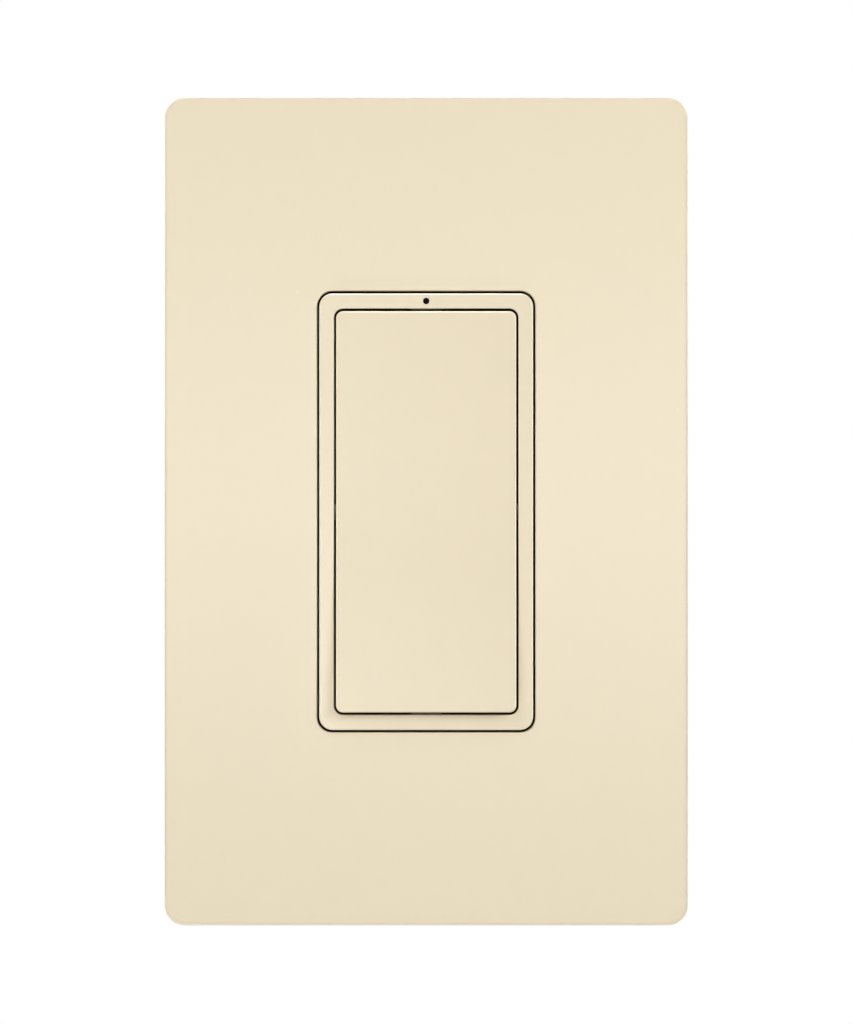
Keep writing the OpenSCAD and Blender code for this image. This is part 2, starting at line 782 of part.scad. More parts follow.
module ground_screw() color("seagreen") translate([ground_x, ground_y, -strap_h / 2]) difference() {
  union() {
    translate([0, 0, -ground_head_t]) cylinder(r = ground_head_r, h = ground_head_t, $fn = 6);
    rod_z(ground_r, -ground_head_t / 2, strap_t + slip);
  }
  block(-ground_head_r, ground_head_r, -drive_w / 2, drive_w / 2, -ground_head_t - cut, drive_t - ground_head_t);
}

module box_screws() color("silver") both_z() translate([0, 0, box_pitch / 2]) {
  head_y = strap_y0 - box_head_t;
  difference() {
    union() {
      cone_y(box_head_r - box_head_t / 3, box_head_r, head_y, head_y + box_head_t / 2);
      rod_y(box_head_r, head_y + box_head_t / 2, strap_y0);
    }
    block(-box_head_r, box_head_r, head_y - cut, head_y + drive_t, -drive_w / 2, drive_w / 2);
  }
  rod_y(neck_r, strap_y0 - box_head_t / 3, thread_y0 + cut);
  rod_y(thread_r, thread_y0, thread_y1 - box_tip);
  cone_y(thread_r, thread_r / 2, thread_y1 - box_tip, thread_y1);
}

module screw_retainers() color("burlywood") both_z() translate([0, 0, box_pitch / 2]) difference() {
  along_y(strap_y1, strap_y1 + retainer_t) rounded_rect(retainer_w, retainer_w, retainer_t);
  rod_y(neck_r + fit, strap_y1 - cut, strap_y1 + retainer_t + cut);
}

// Bezel and chassis

// Hook that passes through chassis and strap and catches behind the strap
module snap_hook() {
  translate([0, 0, hook_z - hook_l / 2]) linear_extrude(hook_l) polygon([
    [hook_x, floor_y0 - hook_t],
    [hook_x + hook_t, floor_y0 - hook_t],
    [hook_x + hook_t, hook_y0],
    [hook_x + hook_t + hook_lip, hook_y0],
    [hook_x + hook_t, hook_y1],
    [hook_x, hook_y1]
  ]);
}

module hook_room(x1, y0, y1) {
  block(hook_x - slip, x1, y0 - cut, y1 + cut, hook_z - hook_l / 2 - slip, hook_z + hook_l / 2 + slip);
}

// Room for the light pipe: a bore through the upper band and a groove behind the floor
module light_room() {
  r = light_r + fit;
  rod_y(r, face_y - cut, strap_y0, 0, light_z);
  block(-r, r, strap_y0 - light_bar - fit, strap_y0 + cut, led_z - r, light_z + r);
}

module bezel() color([0.93, 0.88, 0.79]) difference() {
  union() {
    difference() {
      faced_block(bezel_w, bezel_h, bezel_r, bezel_edge_r, bezel_front, floor_y0);
      along_y(face_y - cut, floor_y0 + cut) rounded_rect(well_w, well_h, well_r);
    }
    both_x() both_z() snap_hook();
    both_z() block(-guide_w / 2, guide_w / 2, floor_y0 - guide_rise, floor_y0,
      well_h / 2 - guide_t, well_h / 2 + band_end / 2);
  }
  both_x() rod_x(pivot_r + fit, well_w / 2 - cut, paddle_w / 2 + pivot_reach + slip, pivot_y, 0);
  light_room();
}

// Floor under bezel and paddle, with the plunger cups
module chassis() color([0.12, 0.12, 0.13]) difference() {
  union() {
    along_y(floor_y0, strap_y0) rounded_rect(bezel_w - 2 * slip, bezel_h - 2 * slip, bezel_r - slip);
    both_z() rod_y(cup_r + cup_wall, floor_y0 + floor_t / 2, cup_y1, 0, plunger_z);
  }
  both_z() {
    rod_y(cup_r, floor_y0 - cut, cup_y1 - cup_bottom_t, 0, plunger_z);
    rod_y(plunger_r + fit, floor_y0, cup_y1 + cut, 0, plunger_z);
  }
  both_x() both_z() hook_room(bezel_w, floor_y0, strap_y0);
  light_room();
}

// Light pipe with a jog, from the status light on the board to the bezel's face
module light_pipe() color([0.1, 0.1, 0.13]) {
  rod_y(light_r, face_y + light_inset, strap_y0 - light_bar / 2, 0, light_z);
  block(-light_r, light_r, strap_y0 - light_bar, strap_y0 - fit, led_z - light_r, light_z + light_r);
  rod_y(light_r, strap_y0 - light_bar / 2, board_y0 - led_t - fit, 0, led_z);
}

// Paddle and what it pushes

// Shape of the face at a height z: flat above, leaning out below, with a smooth bend between
function lean(z) = z > paddle_blend ? 0
  : z < -paddle_blend ? -z
  : pow(paddle_blend - z, 2) / (4 * paddle_blend);

// Profile of the face from top to bottom, set back from the front
function face_profile(back) = [
  for (z = concat([paddle_h], [for (i = [0 : lean_steps]) paddle_blend * (1 - 2 * i / lean_steps)], [-paddle_h]))
    [paddle_front(z) + back, z]
];

// Space behind the face, drawn in from the paddle's sides
module paddle_room(back, rear, inset) {
  intersection() {
    along_y(-3 * plate_depth, rear)
      rounded_rect(paddle_w - 2 * inset, paddle_h - 2 * inset, max(paddle_r - inset, paddle_r / 3));
    along_x(-paddle_w, paddle_w)
      polygon(concat(face_profile(back), [[rear + cut, -paddle_h], [rear + cut, paddle_h]]));
  }
}

// Round-ended rib that pushes a plunger
module paddle_leg() {
  tip = pivot_y - touch - leg_t / 2;
  block(-leg_w / 2, leg_w / 2, paddle_y - paddle_rise, tip, plunger_z - leg_t / 2, plunger_z + leg_t / 2);
  rod_x(leg_t / 2, -leg_w / 2, leg_w / 2, tip, plunger_z);
}

module paddle_ribs() {
  both_x() block(paddle_rib_x, paddle_rib_x + paddle_rib_t, paddle_y - paddle_rise, skirt_y1,
    -paddle_h / 2, paddle_h / 2);
  both_z() paddle_leg();
}

module paddle() color([0.92, 0.87, 0.77]) {
  difference() {
    faced_block(paddle_w, paddle_h, paddle_r, paddle_edge_r, paddle_front, skirt_y1);
    paddle_room(paddle_skin, skirt_y1 + cut, skirt_t);
  }
  intersection() {
    paddle_room(paddle_skin / 2, floor_y0, skirt_t / 2);
    paddle_ribs();
  }
  both_x() {
    block(paddle_w / 2 - skirt_t, paddle_w / 2, pivot_y, ear_y1, -ear_half, ear_half);
    rod_x(pivot_r, paddle_w / 2 - skirt_t, paddle_w / 2 + pivot_reach, pivot_y, 0);
  }
}

module plunger(z) {
  rod_y(head_r, pivot_y, head_y1, 0, z);
  rod_y(plunger_r, pivot_y + head_t / 2, stem_y1, 0, z);
}

module upper_plunger() color("ivory") plunger(plunger_z);

module lower_plunger() color("ivory") plunger(-plunger_z);

module upper_pill() color("dimgray") rod_y(pill_r, stem_y1, pill_y1, 0, plunger_z);

module lower_pill() color("dimgray") rod_y(pill_r, stem_y1, pill_y1, 0, -plunger_z);

// A point on the wire of a coil spring, at ring i and side j
function coil_point(i, j) = let (
  turn = 360 * i / rings_per_turn,
  side = 360 * j / wire_sides,
  r = spring_r + wire_d / 2 * cos(side),
  y = spring_y0 + spring_pitch * i / rings_per_turn + wire_d / 2 * sin(side)
) [r * cos(turn), y, r * sin(turn)];

// Coil spring between a plunger's head and the bottom of its cup
module coil_spring() {
  polyhedron(
    [for (i = [0 : spring_rings], j = [0 : wire_sides - 1]) coil_point(i, j)],
    concat(
      [
        for (i = [0 : spring_rings - 1], j = [0 : wire_sides - 1])
          let (a = i * wire_sides + j, b = i * wire_sides + (j + 1) % wire_sides)
            each [[a, b, b + wire_sides], [a, b + wire_sides, a + wire_sides]]
      ],
      [for (j = [1 : wire_sides - 2]) [0, j + 1, j]],
      [for (j = [1 : wire_sides - 2]) [for (k = [0, j, j + 1]) spring_rings * wire_sides + k]]
    )
  );
}

module upper_spring() color("lightsteelblue") translate([0, 0, plunger_z]) coil_spring();

module lower_spring() color("lightsteelblue") translate([0, 0, -plunger_z]) coil_spring();

// Circuit boards and their parts

module control_board() color("darkgreen") difference() {
  along_y(board_y0, board_y1) rounded_rect(board_w, board_h, board_t);
  both_x() both_z() rod_y(board_screw_r + slip, board_y0 - cut, board_y1 + cut, board_post_x, board_post_z);
}

module contact_pads() color("gold") both_z() rod_y(pad_r, board_y0 - pad_t, board_y0, 0, plunger_z);

module status_led() color("aliceblue") {
  block(-led_w / 2, led_w / 2, board_y0 - led_t, board_y0, led_z - led_h / 2, led_z + led_h / 2);
}

// A lead that comes out at half the chip's height and steps down to the board
module chip_lead() {
  step_x = chip_lead_l / 3;
  out_y = chip_t / 2;
  translate([0, 0, -chip_lead_w / 2]) linear_extrude(chip_lead_w) polygon([
    [-chip_lead_w, out_y],
    [step_x, out_y],
    [step_x, 0],
    [chip_lead_l, 0],
    [chip_lead_l, chip_lead_t],
    [step_x + chip_lead_t, chip_lead_t],
    [step_x + chip_lead_t, out_y + chip_lead_t],
    [-chip_lead_w, out_y + chip_lead_t]
  ]);
}

module controller_chip() color([0.15, 0.15, 0.15]) translate([0, board_y1, chip_z]) {
  pitch = chip_w / (chip_leads + 1);
  block(-chip_w / 2, chip_w / 2, 0, chip_t, -chip_w / 2, chip_w / 2);
  both_x() for (i = [1 : chip_leads]) translate([chip_w / 2, 0, i * pitch - chip_w / 2]) chip_lead();
}

module board_header() color([0.2, 0.2, 0.2]) {
  block(-header_w / 2, header_w / 2, board_y1, power_y0, header_z - header_t / 2, header_z + header_t / 2);
}

// Power board, with a tab at the right for the triac's leads
module power_board() color("seagreen") difference() {
  along_y(power_y0, power_y1) {
    rounded_rect(power_w, power_h, board_t);
    translate([0, -lead_pitch - board_t]) square([lead_x + board_t, 2 * (lead_pitch + board_t)]);
  }
  both_x() both_z() rod_y(board_screw_r + slip, power_y0 - cut, power_y1 + cut, standoff_x, standoff_z);
  for (i = [-1 : 1]) rod_y(lead_w / 2 + slip, power_y0 - cut, power_y1 + cut, lead_x, i * lead_pitch);
  for (i = [0 : 2]) at_terminal(i)
    block(tail_x - slip, power_w, power_y0 - cut, power_y1 + cut, -tail_w / 2 - slip, tail_w / 2 + slip);
}

module board_screw(x, z, seat_y) {
  rod_y(board_head_r, seat_y - board_head_t, seat_y, x, z);
  rod_y(board_screw_r, seat_y - board_head_t / 2, seat_y + board_screw_l, x, z);
}

module board_screws() color("silver") both_x() both_z() {
  board_screw(board_post_x, board_post_z, board_y0);
  board_screw(standoff_x, standoff_z, power_y0);
}

module triac_lead(z) {
  block(case_x + case_l / 2, lead_x + lead_t / 2, lead_y - lead_t / 2, lead_y + lead_t / 2,
    z - lead_w / 2, z + lead_w / 2);
  block(lead_x - lead_t / 2, lead_x + lead_t / 2, lead_y - lead_t / 2, power_y1 + lead_w,
    z - lead_t / 2, z + lead_t / 2);
}

module triac() color([0.22, 0.22, 0.24]) {
  difference() {
    block(-triac_x, case_x + tab_t, strap_y1, strap_y1 + tab_t, -triac_w / 2, triac_w / 2);
    rod_y(rivet_r + slip, strap_y1 - cut, strap_y1 + tab_t + cut, rivet_x, 0);
  }
  block(case_x, case_x + case_l, strap_y1, strap_y1 + triac_t, -triac_w / 2, triac_w / 2);
  for (i = [-1 : 1]) triac_lead(i * lead_pitch);
}

module triac_rivet() color("silver") {
  rod_y(rivet_r, strap_y0 + fit, strap_y1 + tab_t + rivet_head_t / 2, rivet_x, 0);
  rod_y(rivet_head_r, strap_y1 + tab_t, strap_y1 + tab_t + rivet_head_t, rivet_x, 0);
}

// A ring of rectangular section round the choke's axis
module choke_ring(r0, r1, y0, y1, angle) {
  translate([0, y1, choke_z]) rotate([90, 0, 0]) rotate_extrude(angle = angle)
    translate([r0, 0]) square([r1 - r0, y1 - y0]);
}

module choke_core() color([0.35, 0.35, 0.38]) choke_ring(core_r - core_ring, core_r, core_y0, core_y1, 360);

module choke_winding() color("peru") difference() {
  choke_ring(core_r - core_ring - winding_t, choke_r, core_y0 - winding_t, power_y0, winding_angle);
  choke_ring(core_r - core_ring - fit, core_r + fit, core_y0 - fit, core_y1 + fit, 360);
}

module film_capacitor() color("goldenrod") translate([0, 0, film_z])
  along_y(power_y0 - film_h, power_y0) rounded_rect(film_w, film_t, film_corner_r);

module supply_capacitor() color("midnightblue") translate([-parts_x, power_y0, parts_z]) rotate([90, 0, 0])
  rotate_extrude() polygon([
    [0, 0],
    [supply_r, 0],
    [supply_r, crimp_rise],
    [supply_r - crimp_t, crimp_rise + crimp_w / 2],
    [supply_r, crimp_rise + crimp_w],
    [supply_r, supply_h],
    [0, supply_h]
  ]);

module surge_disc() color("steelblue") {
  rod_x(disc_r, parts_x - disc_t / 2, parts_x + disc_t / 2, power_y0 - disc_r - lead_t, parts_z);
  for (z = [-1, 1]) rod_y(lead_t / 2, power_y0 - disc_r, power_y0, parts_x, parts_z + z * disc_r / 2);
}

// Terminals, each drawn on the right side at mid height and then set in its place

module at_terminal(i) {
  side = TERMINALS[i][0];
  translate([0, 0, TERMINALS[i][1] * term_z]) mirror([side < 0 ? 1 : 0, 0, 0]) children();
}

module terminal() {
  difference() {
    block(pocket_x, pocket_x + terminal_t, term_y - clamp_w / 2, term_y + clamp_w / 2, -clamp_w / 2, clamp_w / 2);
    rod_x(terminal_r + fit, pocket_x - cut, pocket_x + terminal_t + cut, term_y, 0);
  }
  block(pocket_x, pocket_x + terminal_t, term_y + clamp_w / 3, tail_y0 + terminal_t, -tail_w / 2, tail_w / 2);
  block(tail_x, pocket_x + terminal_t, tail_y0, tail_y0 + terminal_t, -tail_w / 2, tail_w / 2);
  block(tail_x, tail_x + terminal_t, tail_y0, power_y1 + terminal_t, -tail_w / 2, tail_w / 2);
}

module clamp() difference() {
  along_x(clamp_x, clamp_x + clamp_t) translate([term_y, 0]) square(clamp_w, center = true);
  rod_x(terminal_r + fit, clamp_x - cut, clamp_x + clamp_t + cut, term_y, 0);
}

module terminal_screw() difference() {
  union() {
    rod_x(terminal_r, pocket_x - pocket_wall / 2, screw_head_x + screw_head_t / 2, term_y, 0);
    rod_x(screw_head_r, screw_head_x, screw_head_x + screw_head_t, term_y, 0);
  }
  block(screw_head_x + screw_head_t - drive_t, body_w, term_y - drive_w / 2, term_y + drive_w / 2,
    -screw_head_r, screw_head_r);
}

module line_terminal() color("darkgoldenrod") at_terminal(0) terminal();

module load_terminal() color("darkgoldenrod") at_terminal(1) terminal();

module neutral_terminal() color("darkgoldenrod") at_terminal(2) terminal();

module terminal_clamps() color("khaki") for (i = [0 : 2]) at_terminal(i) clamp();

module live_terminal_screws() color("gold") for (i = [0 : 1]) at_terminal(i) terminal_screw();

module neutral_terminal_screw() color("silver") at_terminal(2) terminal_screw();

// Rear housing

module corner_posts(r, y0, y1) {
  both_x() both_z() rod_y(r, y0, y1, post_x, post_z);
}

// Solid walls round a terminal pocket
module pocket_walls() {
  block(pocket_x - pocket_wall, body_w / 2 - body_wall / 2, pocket_y0, body_y1 - body_wall / 2,
    -pocket_half - pocket_wall, pocket_half + pocket_wall);
}

// Room for the wire, open to the side and to the rear, with the holes for screw and tail
module pocket_room() {
  block(pocket_x, body_w / 2 + cut, pocket_in_y, body_y1 + cut, -pocket_half, pocket_half);
  rod_x(terminal_r + 2 * slip, pocket_x - pocket_wall - cut, pocket_x + cut, term_y, 0);
  block(pocket_x - pocket_wall - cut, pocket_x + cut, tail_y0 - slip, tail_y0 + terminal_t + slip,
    -tail_w / 2 - slip, tail_w / 2 + slip);
}

// Wedges that bevel the long rear edges, at the right side and at the top
module rear_bevels() {
  both_x() translate([body_w / 2, body_y1, -body_h]) linear_extrude(2 * body_h)
    polygon([[cut, -body_bevel - cut], [cut, cut], [-body_bevel - cut, cut]]);
  both_z() along_x(-body_w, body_w) translate([body_y1, body_h / 2])
    polygon([[-body_bevel - cut, cut], [cut, -body_bevel - cut], [cut, cut]]);
}

module body_shell() difference() {
  along_y(body_y0, body_y1) rounded_rect(body_w, body_h, body_corner_r);
  rear_bevels();
  along_y(body_y1 - gauge_t, body_y1 + cut) slot(gauge_l, gauge_w);
  along_y(body_y0 - cut, floor_in_y) rounded_rect(inner_w, inner_h, body_corner_r - body_wall / 2);
}

// Posts, standoffs and pocket walls inside the housing
module body_inside() {
  corner_posts(post_r, body_y0, body_y1);
  both_x() both_z() rod_y(board_post_r, board_y1, body_y1, board_post_x, board_post_z);
  both_x() both_z() rod_y(standoff_r, power_y1, body_y1, standoff_x, standoff_z);
  for (i = [0 : 2]) at_terminal(i) pocket_walls();
}

module back_body() color([0.2, 0.2, 0.22]) difference() {
  union() {
    body_shell();
    intersection() {
      along_y(body_y0, body_y1 - body_wall / 2)
        rounded_rect(body_w - body_wall, body_h - body_wall, body_corner_r - body_wall / 2);
      body_inside();
    }
  }
  corner_posts(body_screw_r + slip, body_y0 - cut, body_y1 + cut);
  corner_posts(body_head_r + slip, body_y1 - bore_depth, body_y1 + cut);
  both_x() both_z() {
    rod_y(board_screw_r + fit, board_y1 - cut, board_y0 + board_screw_l + cut, board_post_x, board_post_z);
    rod_y(board_screw_r + fit, power_y1 - cut, power_y0 + board_screw_l + slip, standoff_x, standoff_z);
  }
  for (i = [0 : 2]) at_terminal(i) pocket_room();
}

module body_screws() color("silver") both_x() both_z() difference() {
  head_y = body_y1 - bore_depth;
  union() {
    rod_y(body_screw_r, strap_y0 + fit, head_y + body_head_t / 2, post_x, post_z);
    rod_y(body_head_r, head_y, head_y + body_head_t, post_x, post_z);
  }
  translate([post_x, head_y + body_head_t - drive_t, post_z])
    block(-body_head_r, body_head_r, 0, cut, -drive_w / 2, drive_w / 2);
}

// The least gap between neighbouring turns of a plunger spring
echo(spring_gap = spring_pitch - wire_d);

wall_plate();
sub_plate();
plate_screws();
strap();
ground_screw();
box_screws();
screw_retainers();
bezel();
chassis();
paddle();
light_pipe();
upper_plunger();
lower_plunger();
upper_spring();
lower_spring();
upper_pill();
lower_pill();
control_board();
contact_pads();
status_led();
controller_chip();
board_header();
power_board();
board_screws();
triac();
triac_rivet();
choke_core();
choke_winding();
film_capacitor();
supply_capacitor();
surge_disc();
line_terminal();
load_terminal();
neutral_terminal();
terminal_clamps();
live_terminal_screws();
neutral_terminal_screw();
back_body();
body_screws();
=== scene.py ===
"""Looks of a paddle dimmer switch in a screwless wall plate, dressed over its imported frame."""
import json
import math

import bmesh
import bpy
from mathutils import Matrix, Vector


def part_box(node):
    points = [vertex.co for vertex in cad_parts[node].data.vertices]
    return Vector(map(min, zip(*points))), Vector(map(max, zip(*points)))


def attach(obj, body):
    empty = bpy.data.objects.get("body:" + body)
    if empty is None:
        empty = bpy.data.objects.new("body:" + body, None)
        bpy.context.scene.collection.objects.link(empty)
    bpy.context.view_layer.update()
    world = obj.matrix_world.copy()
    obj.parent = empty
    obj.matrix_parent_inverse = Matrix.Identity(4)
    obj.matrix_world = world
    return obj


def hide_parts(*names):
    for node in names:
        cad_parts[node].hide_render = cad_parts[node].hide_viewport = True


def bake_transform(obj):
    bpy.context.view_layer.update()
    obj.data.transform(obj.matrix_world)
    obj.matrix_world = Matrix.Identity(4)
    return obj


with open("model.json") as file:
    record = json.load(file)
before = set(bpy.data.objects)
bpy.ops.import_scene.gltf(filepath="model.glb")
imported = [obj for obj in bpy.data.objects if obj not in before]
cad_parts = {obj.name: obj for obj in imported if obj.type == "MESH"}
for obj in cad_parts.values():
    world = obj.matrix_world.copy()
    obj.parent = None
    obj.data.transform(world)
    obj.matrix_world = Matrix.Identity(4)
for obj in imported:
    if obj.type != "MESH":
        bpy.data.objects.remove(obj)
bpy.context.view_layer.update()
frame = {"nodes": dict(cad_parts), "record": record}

# Sizes in metres, taken from the frame where a node gives them
MM = 0.001
PLATE_LOW, PLATE_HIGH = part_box("wall_plate")
BEZEL_LOW, BEZEL_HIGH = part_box("bezel")

# Gaps and fits between pieces, and how far a cutting tool sticks out
FACE_GAP = 0.3 * MM
END_GAP = 0.33 * MM
PADDLE_END_GAP = 0.36 * MM
CATCH_GAP = 0.15 * MM
SKIRT_GAP = 0.15 * MM
FIT = 0.05 * MM
SLIP = 0.2 * MM
DRAFT = 0.02 * MM
OVERSHOOT = 1 * MM

# Wall plate
PLATE_W = PLATE_HIGH.x - PLATE_LOW.x
PLATE_H = PLATE_HIGH.z - PLATE_LOW.z
PLATE_DEPTH = -PLATE_LOW.y
PLATE_CROWN = 1.0 * MM
PLATE_CORNER_R = 3.1 * MM
PLATE_EDGE_R = 0.4 * MM
PLATE_WALL = 1.9 * MM
LIP_T = 1.2 * MM
RIM_R = 0.15 * MM
CATCH_W = 8 * MM
CATCH_X = 20 * MM
CATCH_REACH = 0.9 * MM
CATCH_TIP = 0.3 * MM
CATCH_ROOT = PLATE_WALL * 2 / 3
PRY_W = 9 * MM
PRY_H = 0.9 * MM

# Bezel and its window in the wall plate
STRAP_FRONT = -1.6 * MM
STRAP_REAR = -0.3 * MM
BEZEL_W = BEZEL_HIGH.x - BEZEL_LOW.x
BEZEL_H = BEZEL_HIGH.z - BEZEL_LOW.z
BEZEL_FACE = BEZEL_LOW.y
BEZEL_R = 2.0 * MM
BEZEL_EDGE_R = 0.3 * MM
BAND_SIDE = 2.25 * MM
BAND_END = 2.33 * MM
WELL_W = BEZEL_W - 2 * BAND_SIDE
WELL_H = BEZEL_H - 2 * BAND_END
WELL_R = 1.37 * MM
WELL_EDGE_R = 0.12 * MM
FLOOR_FRONT = -2.8 * MM
WINDOW_W = BEZEL_W + 2 * FACE_GAP
WINDOW_H = BEZEL_H + 2 * END_GAP
WINDOW_R = BEZEL_R + FACE_GAP
WINDOW_EDGE_R = 0.2 * MM
LIP_REAR = -3.4 * MM
GUIDE_W = 4.6 * MM
GUIDE_T = 0.18 * MM
GUIDE_RISE = 2.6 * MM
HOOK_X = WELL_W / 2 + SLIP
HOOK_T = 1.3 * MM
HOOK_LIP = 0.7 * MM
HOOK_RISE = 1.5 * MM
HOOK_L = 5 * MM
HOOK_Z = 23.7 * MM
LIGHT_R = 0.45 * MM
LIGHT_CROWN = LIGHT_R / 4
LIGHT_INSET = 0.1 * MM
LIGHT_BAR = 0.7 * MM
LIGHT_Z = WELL_H / 2 + BAND_END / 2
LED_Z = 27.1 * MM

# Paddle
PADDLE_W = WELL_W - 2 * FACE_GAP
PADDLE_H = WELL_H - 2 * PADDLE_END_GAP
PADDLE_R = WELL_R - FACE_GAP
PADDLE_EDGE_R = 0.3 * MM
PADDLE_FACE_INSET = 0.1 * MM
PADDLE_PROUD = 0.05 * MM
PADDLE_FACE = BEZEL_FACE - PADDLE_PROUD
PADDLE_RISE = 1.5 * MM
PADDLE_BLEND = 8 * MM
PADDLE_SKIN = 1.7 * MM
SKIRT_T = 1.5 * MM
PIVOT_Y = -4.7 * MM
PIVOT_R = 1.2 * MM
TILT = math.radians(2)
SKIRT_REAR = FLOOR_FRONT - PADDLE_H / 2 * math.sin(TILT) - SKIRT_GAP
RIB_X = 7 * MM
RIB_T = 1.0 * MM
LEG_W = 8 * MM
LEG_T = 1.6 * MM
EAR_HALF = 3 * MM
PIVOT_REACH = 1.8 * MM
PLUNGER_Z = 20 * MM
TOUCH = 0.03 * MM

# Springs
SPRING_LOW, SPRING_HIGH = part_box("upper_spring")
WIRE_R = 0.2 * MM
SPRING_R = SPRING_HIGH.x - WIRE_R
SPRING_TURNS = 5

# Choke
CORE_RING = 3.5 * MM
COPPER_R = 0.42 * MM
WINDING_TURNS = 22
WINDING_ANGLE = math.radians(300)
WINDING_MARGIN = 0.01

# Screws, with the mouth, foot and depth of a cross recess as shares of its head's radius
THREAD_PITCH = 0.8 * MM
LONG_TAPER = 1 * MM
SHORT_TAPER = 0.5 * MM
DRIVE_W = 0.9 * MM
DRIVE_T = 0.7 * MM
CROSS_W = 0.75 * MM
CROSS_MOUTH = 0.715
CROSS_FOOT = 0.1925
CROSS_DEPTH = 0.6
BOX_Z = 41.67 * MM
BOX_HEAD_R = 3.5 * MM
BOX_HEAD_T = 1.9 * MM
BOX_RIM = BOX_HEAD_T / 3
BOX_SCREW_L = 25.4 * MM
BOX_NECK = 3.0 * MM
THREAD_R = 1.75 * MM
THREAD_DEPTH = 0.4 * MM
PLATE_SCREW_Z = 48.42 * MM
PLATE_HEAD_R = 3.4 * MM
PLATE_HEAD_T = 1.4 * MM
PLATE_SCREW_L = 3.3 * MM
GROUND_LOW, GROUND_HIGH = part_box("ground_screw")
GROUND_HEAD_R = (GROUND_HIGH.x - GROUND_LOW.x) / 2
GROUND_HEAD_T = 2.4 * MM
GROUND_HEX_R = GROUND_HEAD_R * 0.94
GROUND_TOP_R = GROUND_HEAD_R * 0.8
GROUND_RIM_R = GROUND_HEAD_R * 1.05
GROUND_CHAMFER = 0.45 * MM
GROUND_WASHER_T = GROUND_HEAD_T / 4
GROUND_R = 1.9 * MM
BODY_SCREW_LOW, BODY_SCREW_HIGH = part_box("body_screws")
BODY_HEAD_R = 2.5 * MM
BODY_HEAD_T = 2.2 * MM
BODY_RIM = BODY_HEAD_T / 3
BODY_SCREW_R = 1.4 * MM
TERMINAL_LOW, TERMINAL_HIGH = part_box("neutral_terminal_screw")
TERMINAL_HEAD_R = 3.4 * MM
TERMINAL_HEAD_T = 1.7 * MM
TERMINAL_RIM = TERMINAL_HEAD_T * 0.6
TERMINAL_ROOT = TERMINAL_HEAD_T / 3
TERMINAL_R = 1.9 * MM

# Clamp plates of the terminals
CLAMP_LOW, CLAMP_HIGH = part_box("terminal_clamps")
CLAMP_T = 1.2 * MM
CLAMP_W = 8.4 * MM
CLAMP_TEETH = 10
TOOTH_DEPTH = 1.5 * FIT

# Photograph in pixels: its frame, where the plate's middle lies in it, and the plate's width
PHOTO_W, PHOTO_H = 853, 1024
PHOTO_MIDDLE = (426.2, 511.7)
PHOTO_PLATE_PX = 523.4

# Width of the small roundings that CAD nodes get here, on edges sharper than an angle
EDGES = {
    "sub_plate": 0.15 * MM,
    "strap": 0.12 * MM,
    "screw_retainers": 0.1 * MM,
    "chassis": 0.1 * MM,
    "back_body": 0.2 * MM,
    "line_terminal": 0.12 * MM,
    "load_terminal": 0.12 * MM,
    "neutral_terminal": 0.12 * MM,
}
ROUNDING_STEPS = 2
FLAT_ANGLE = math.radians(1)
SHARP_ANGLE = math.radians(30)

# How close points are before they count as one
MERGE_DISTANCE = 1e-8
CAD_MERGE_DISTANCE = 1e-7

# Steps in which arcs, curves and turns are made
CORNER_STEPS = 10
SIDE_STEPS = 48
EDGE_STEPS = 6
FACE_STEPS = 16
BLEND_STEPS = 12
LEG_STEPS = 12
LENS_STEPS = 6
DOME_STEPS = 8
THREAD_STEPS = 8
COIL_STEPS = 36
BEND_STEPS = 5
ROUND_SEGMENTS = 48
THIN_SEGMENTS = 32

# Where the outermost and innermost rings of a face lie, as shares of the way across it
PLATE_FACE_HOLD = 0.01
BEZEL_FACE_HOLD = 0.05


# Meshes

def new_object(name, mesh):
    """Links a mesh into the scene as an object."""
    piece = bpy.data.objects.new(name, mesh)
    bpy.context.scene.collection.objects.link(piece)
    return piece


def from_bmesh(name, bm):
    """Turns a bmesh into an object with outward faces."""
    bmesh.ops.remove_doubles(bm, verts=bm.verts, dist=MERGE_DISTANCE)
    bmesh.ops.recalc_face_normals(bm, faces=bm.faces)
    mesh = bpy.data.meshes.new(name)
    bm.to_mesh(mesh)
    bm.free()
    return new_object(name, mesh)


def smooth(piece, angle=35):
    """Shades a piece smooth, apart from edges sharper than the angle."""
    piece.data.shade_smooth()
    piece.data.set_sharp_from_angle(angle=math.radians(angle))
    return piece


def outline(width, height, radius):
    """A rounded rectangle in X and Z: its right half from bottom to top, then the left half mirrored."""
    half = []
    for corner_z, start in ((radius - height / 2, -90), (height / 2 - radius, 0)):
        for step in range(CORNER_STEPS + 1):
            a = math.radians(start + 90 * step / CORNER_STEPS)
            half.append((width / 2 - radius + radius * math.cos(a), corner_z + radius * math.sin(a)))
        if start < 0:
            for step in range(1, SIDE_STEPS):
                half.append((width / 2, (height - 2 * radius) * (step / SIDE_STEPS - 0.5)))
    return half + [(-x, z) for x, z in reversed(half)]


def ring(width, height, radius, depth):
    """An outline set at a depth, which is a number or a function of the height z."""
    place = depth if callable(depth) else lambda z: depth
    return [(x, place(z), z) for x, z in outline(width, height, radius)]


def mix_rings(first, last, share):
    """A ring between two others, seen from the front."""
    return [(a[0] + (b[0] - a[0]) * share, a[2] + (b[2] - a[2]) * share) for a, b in zip(first, last)]


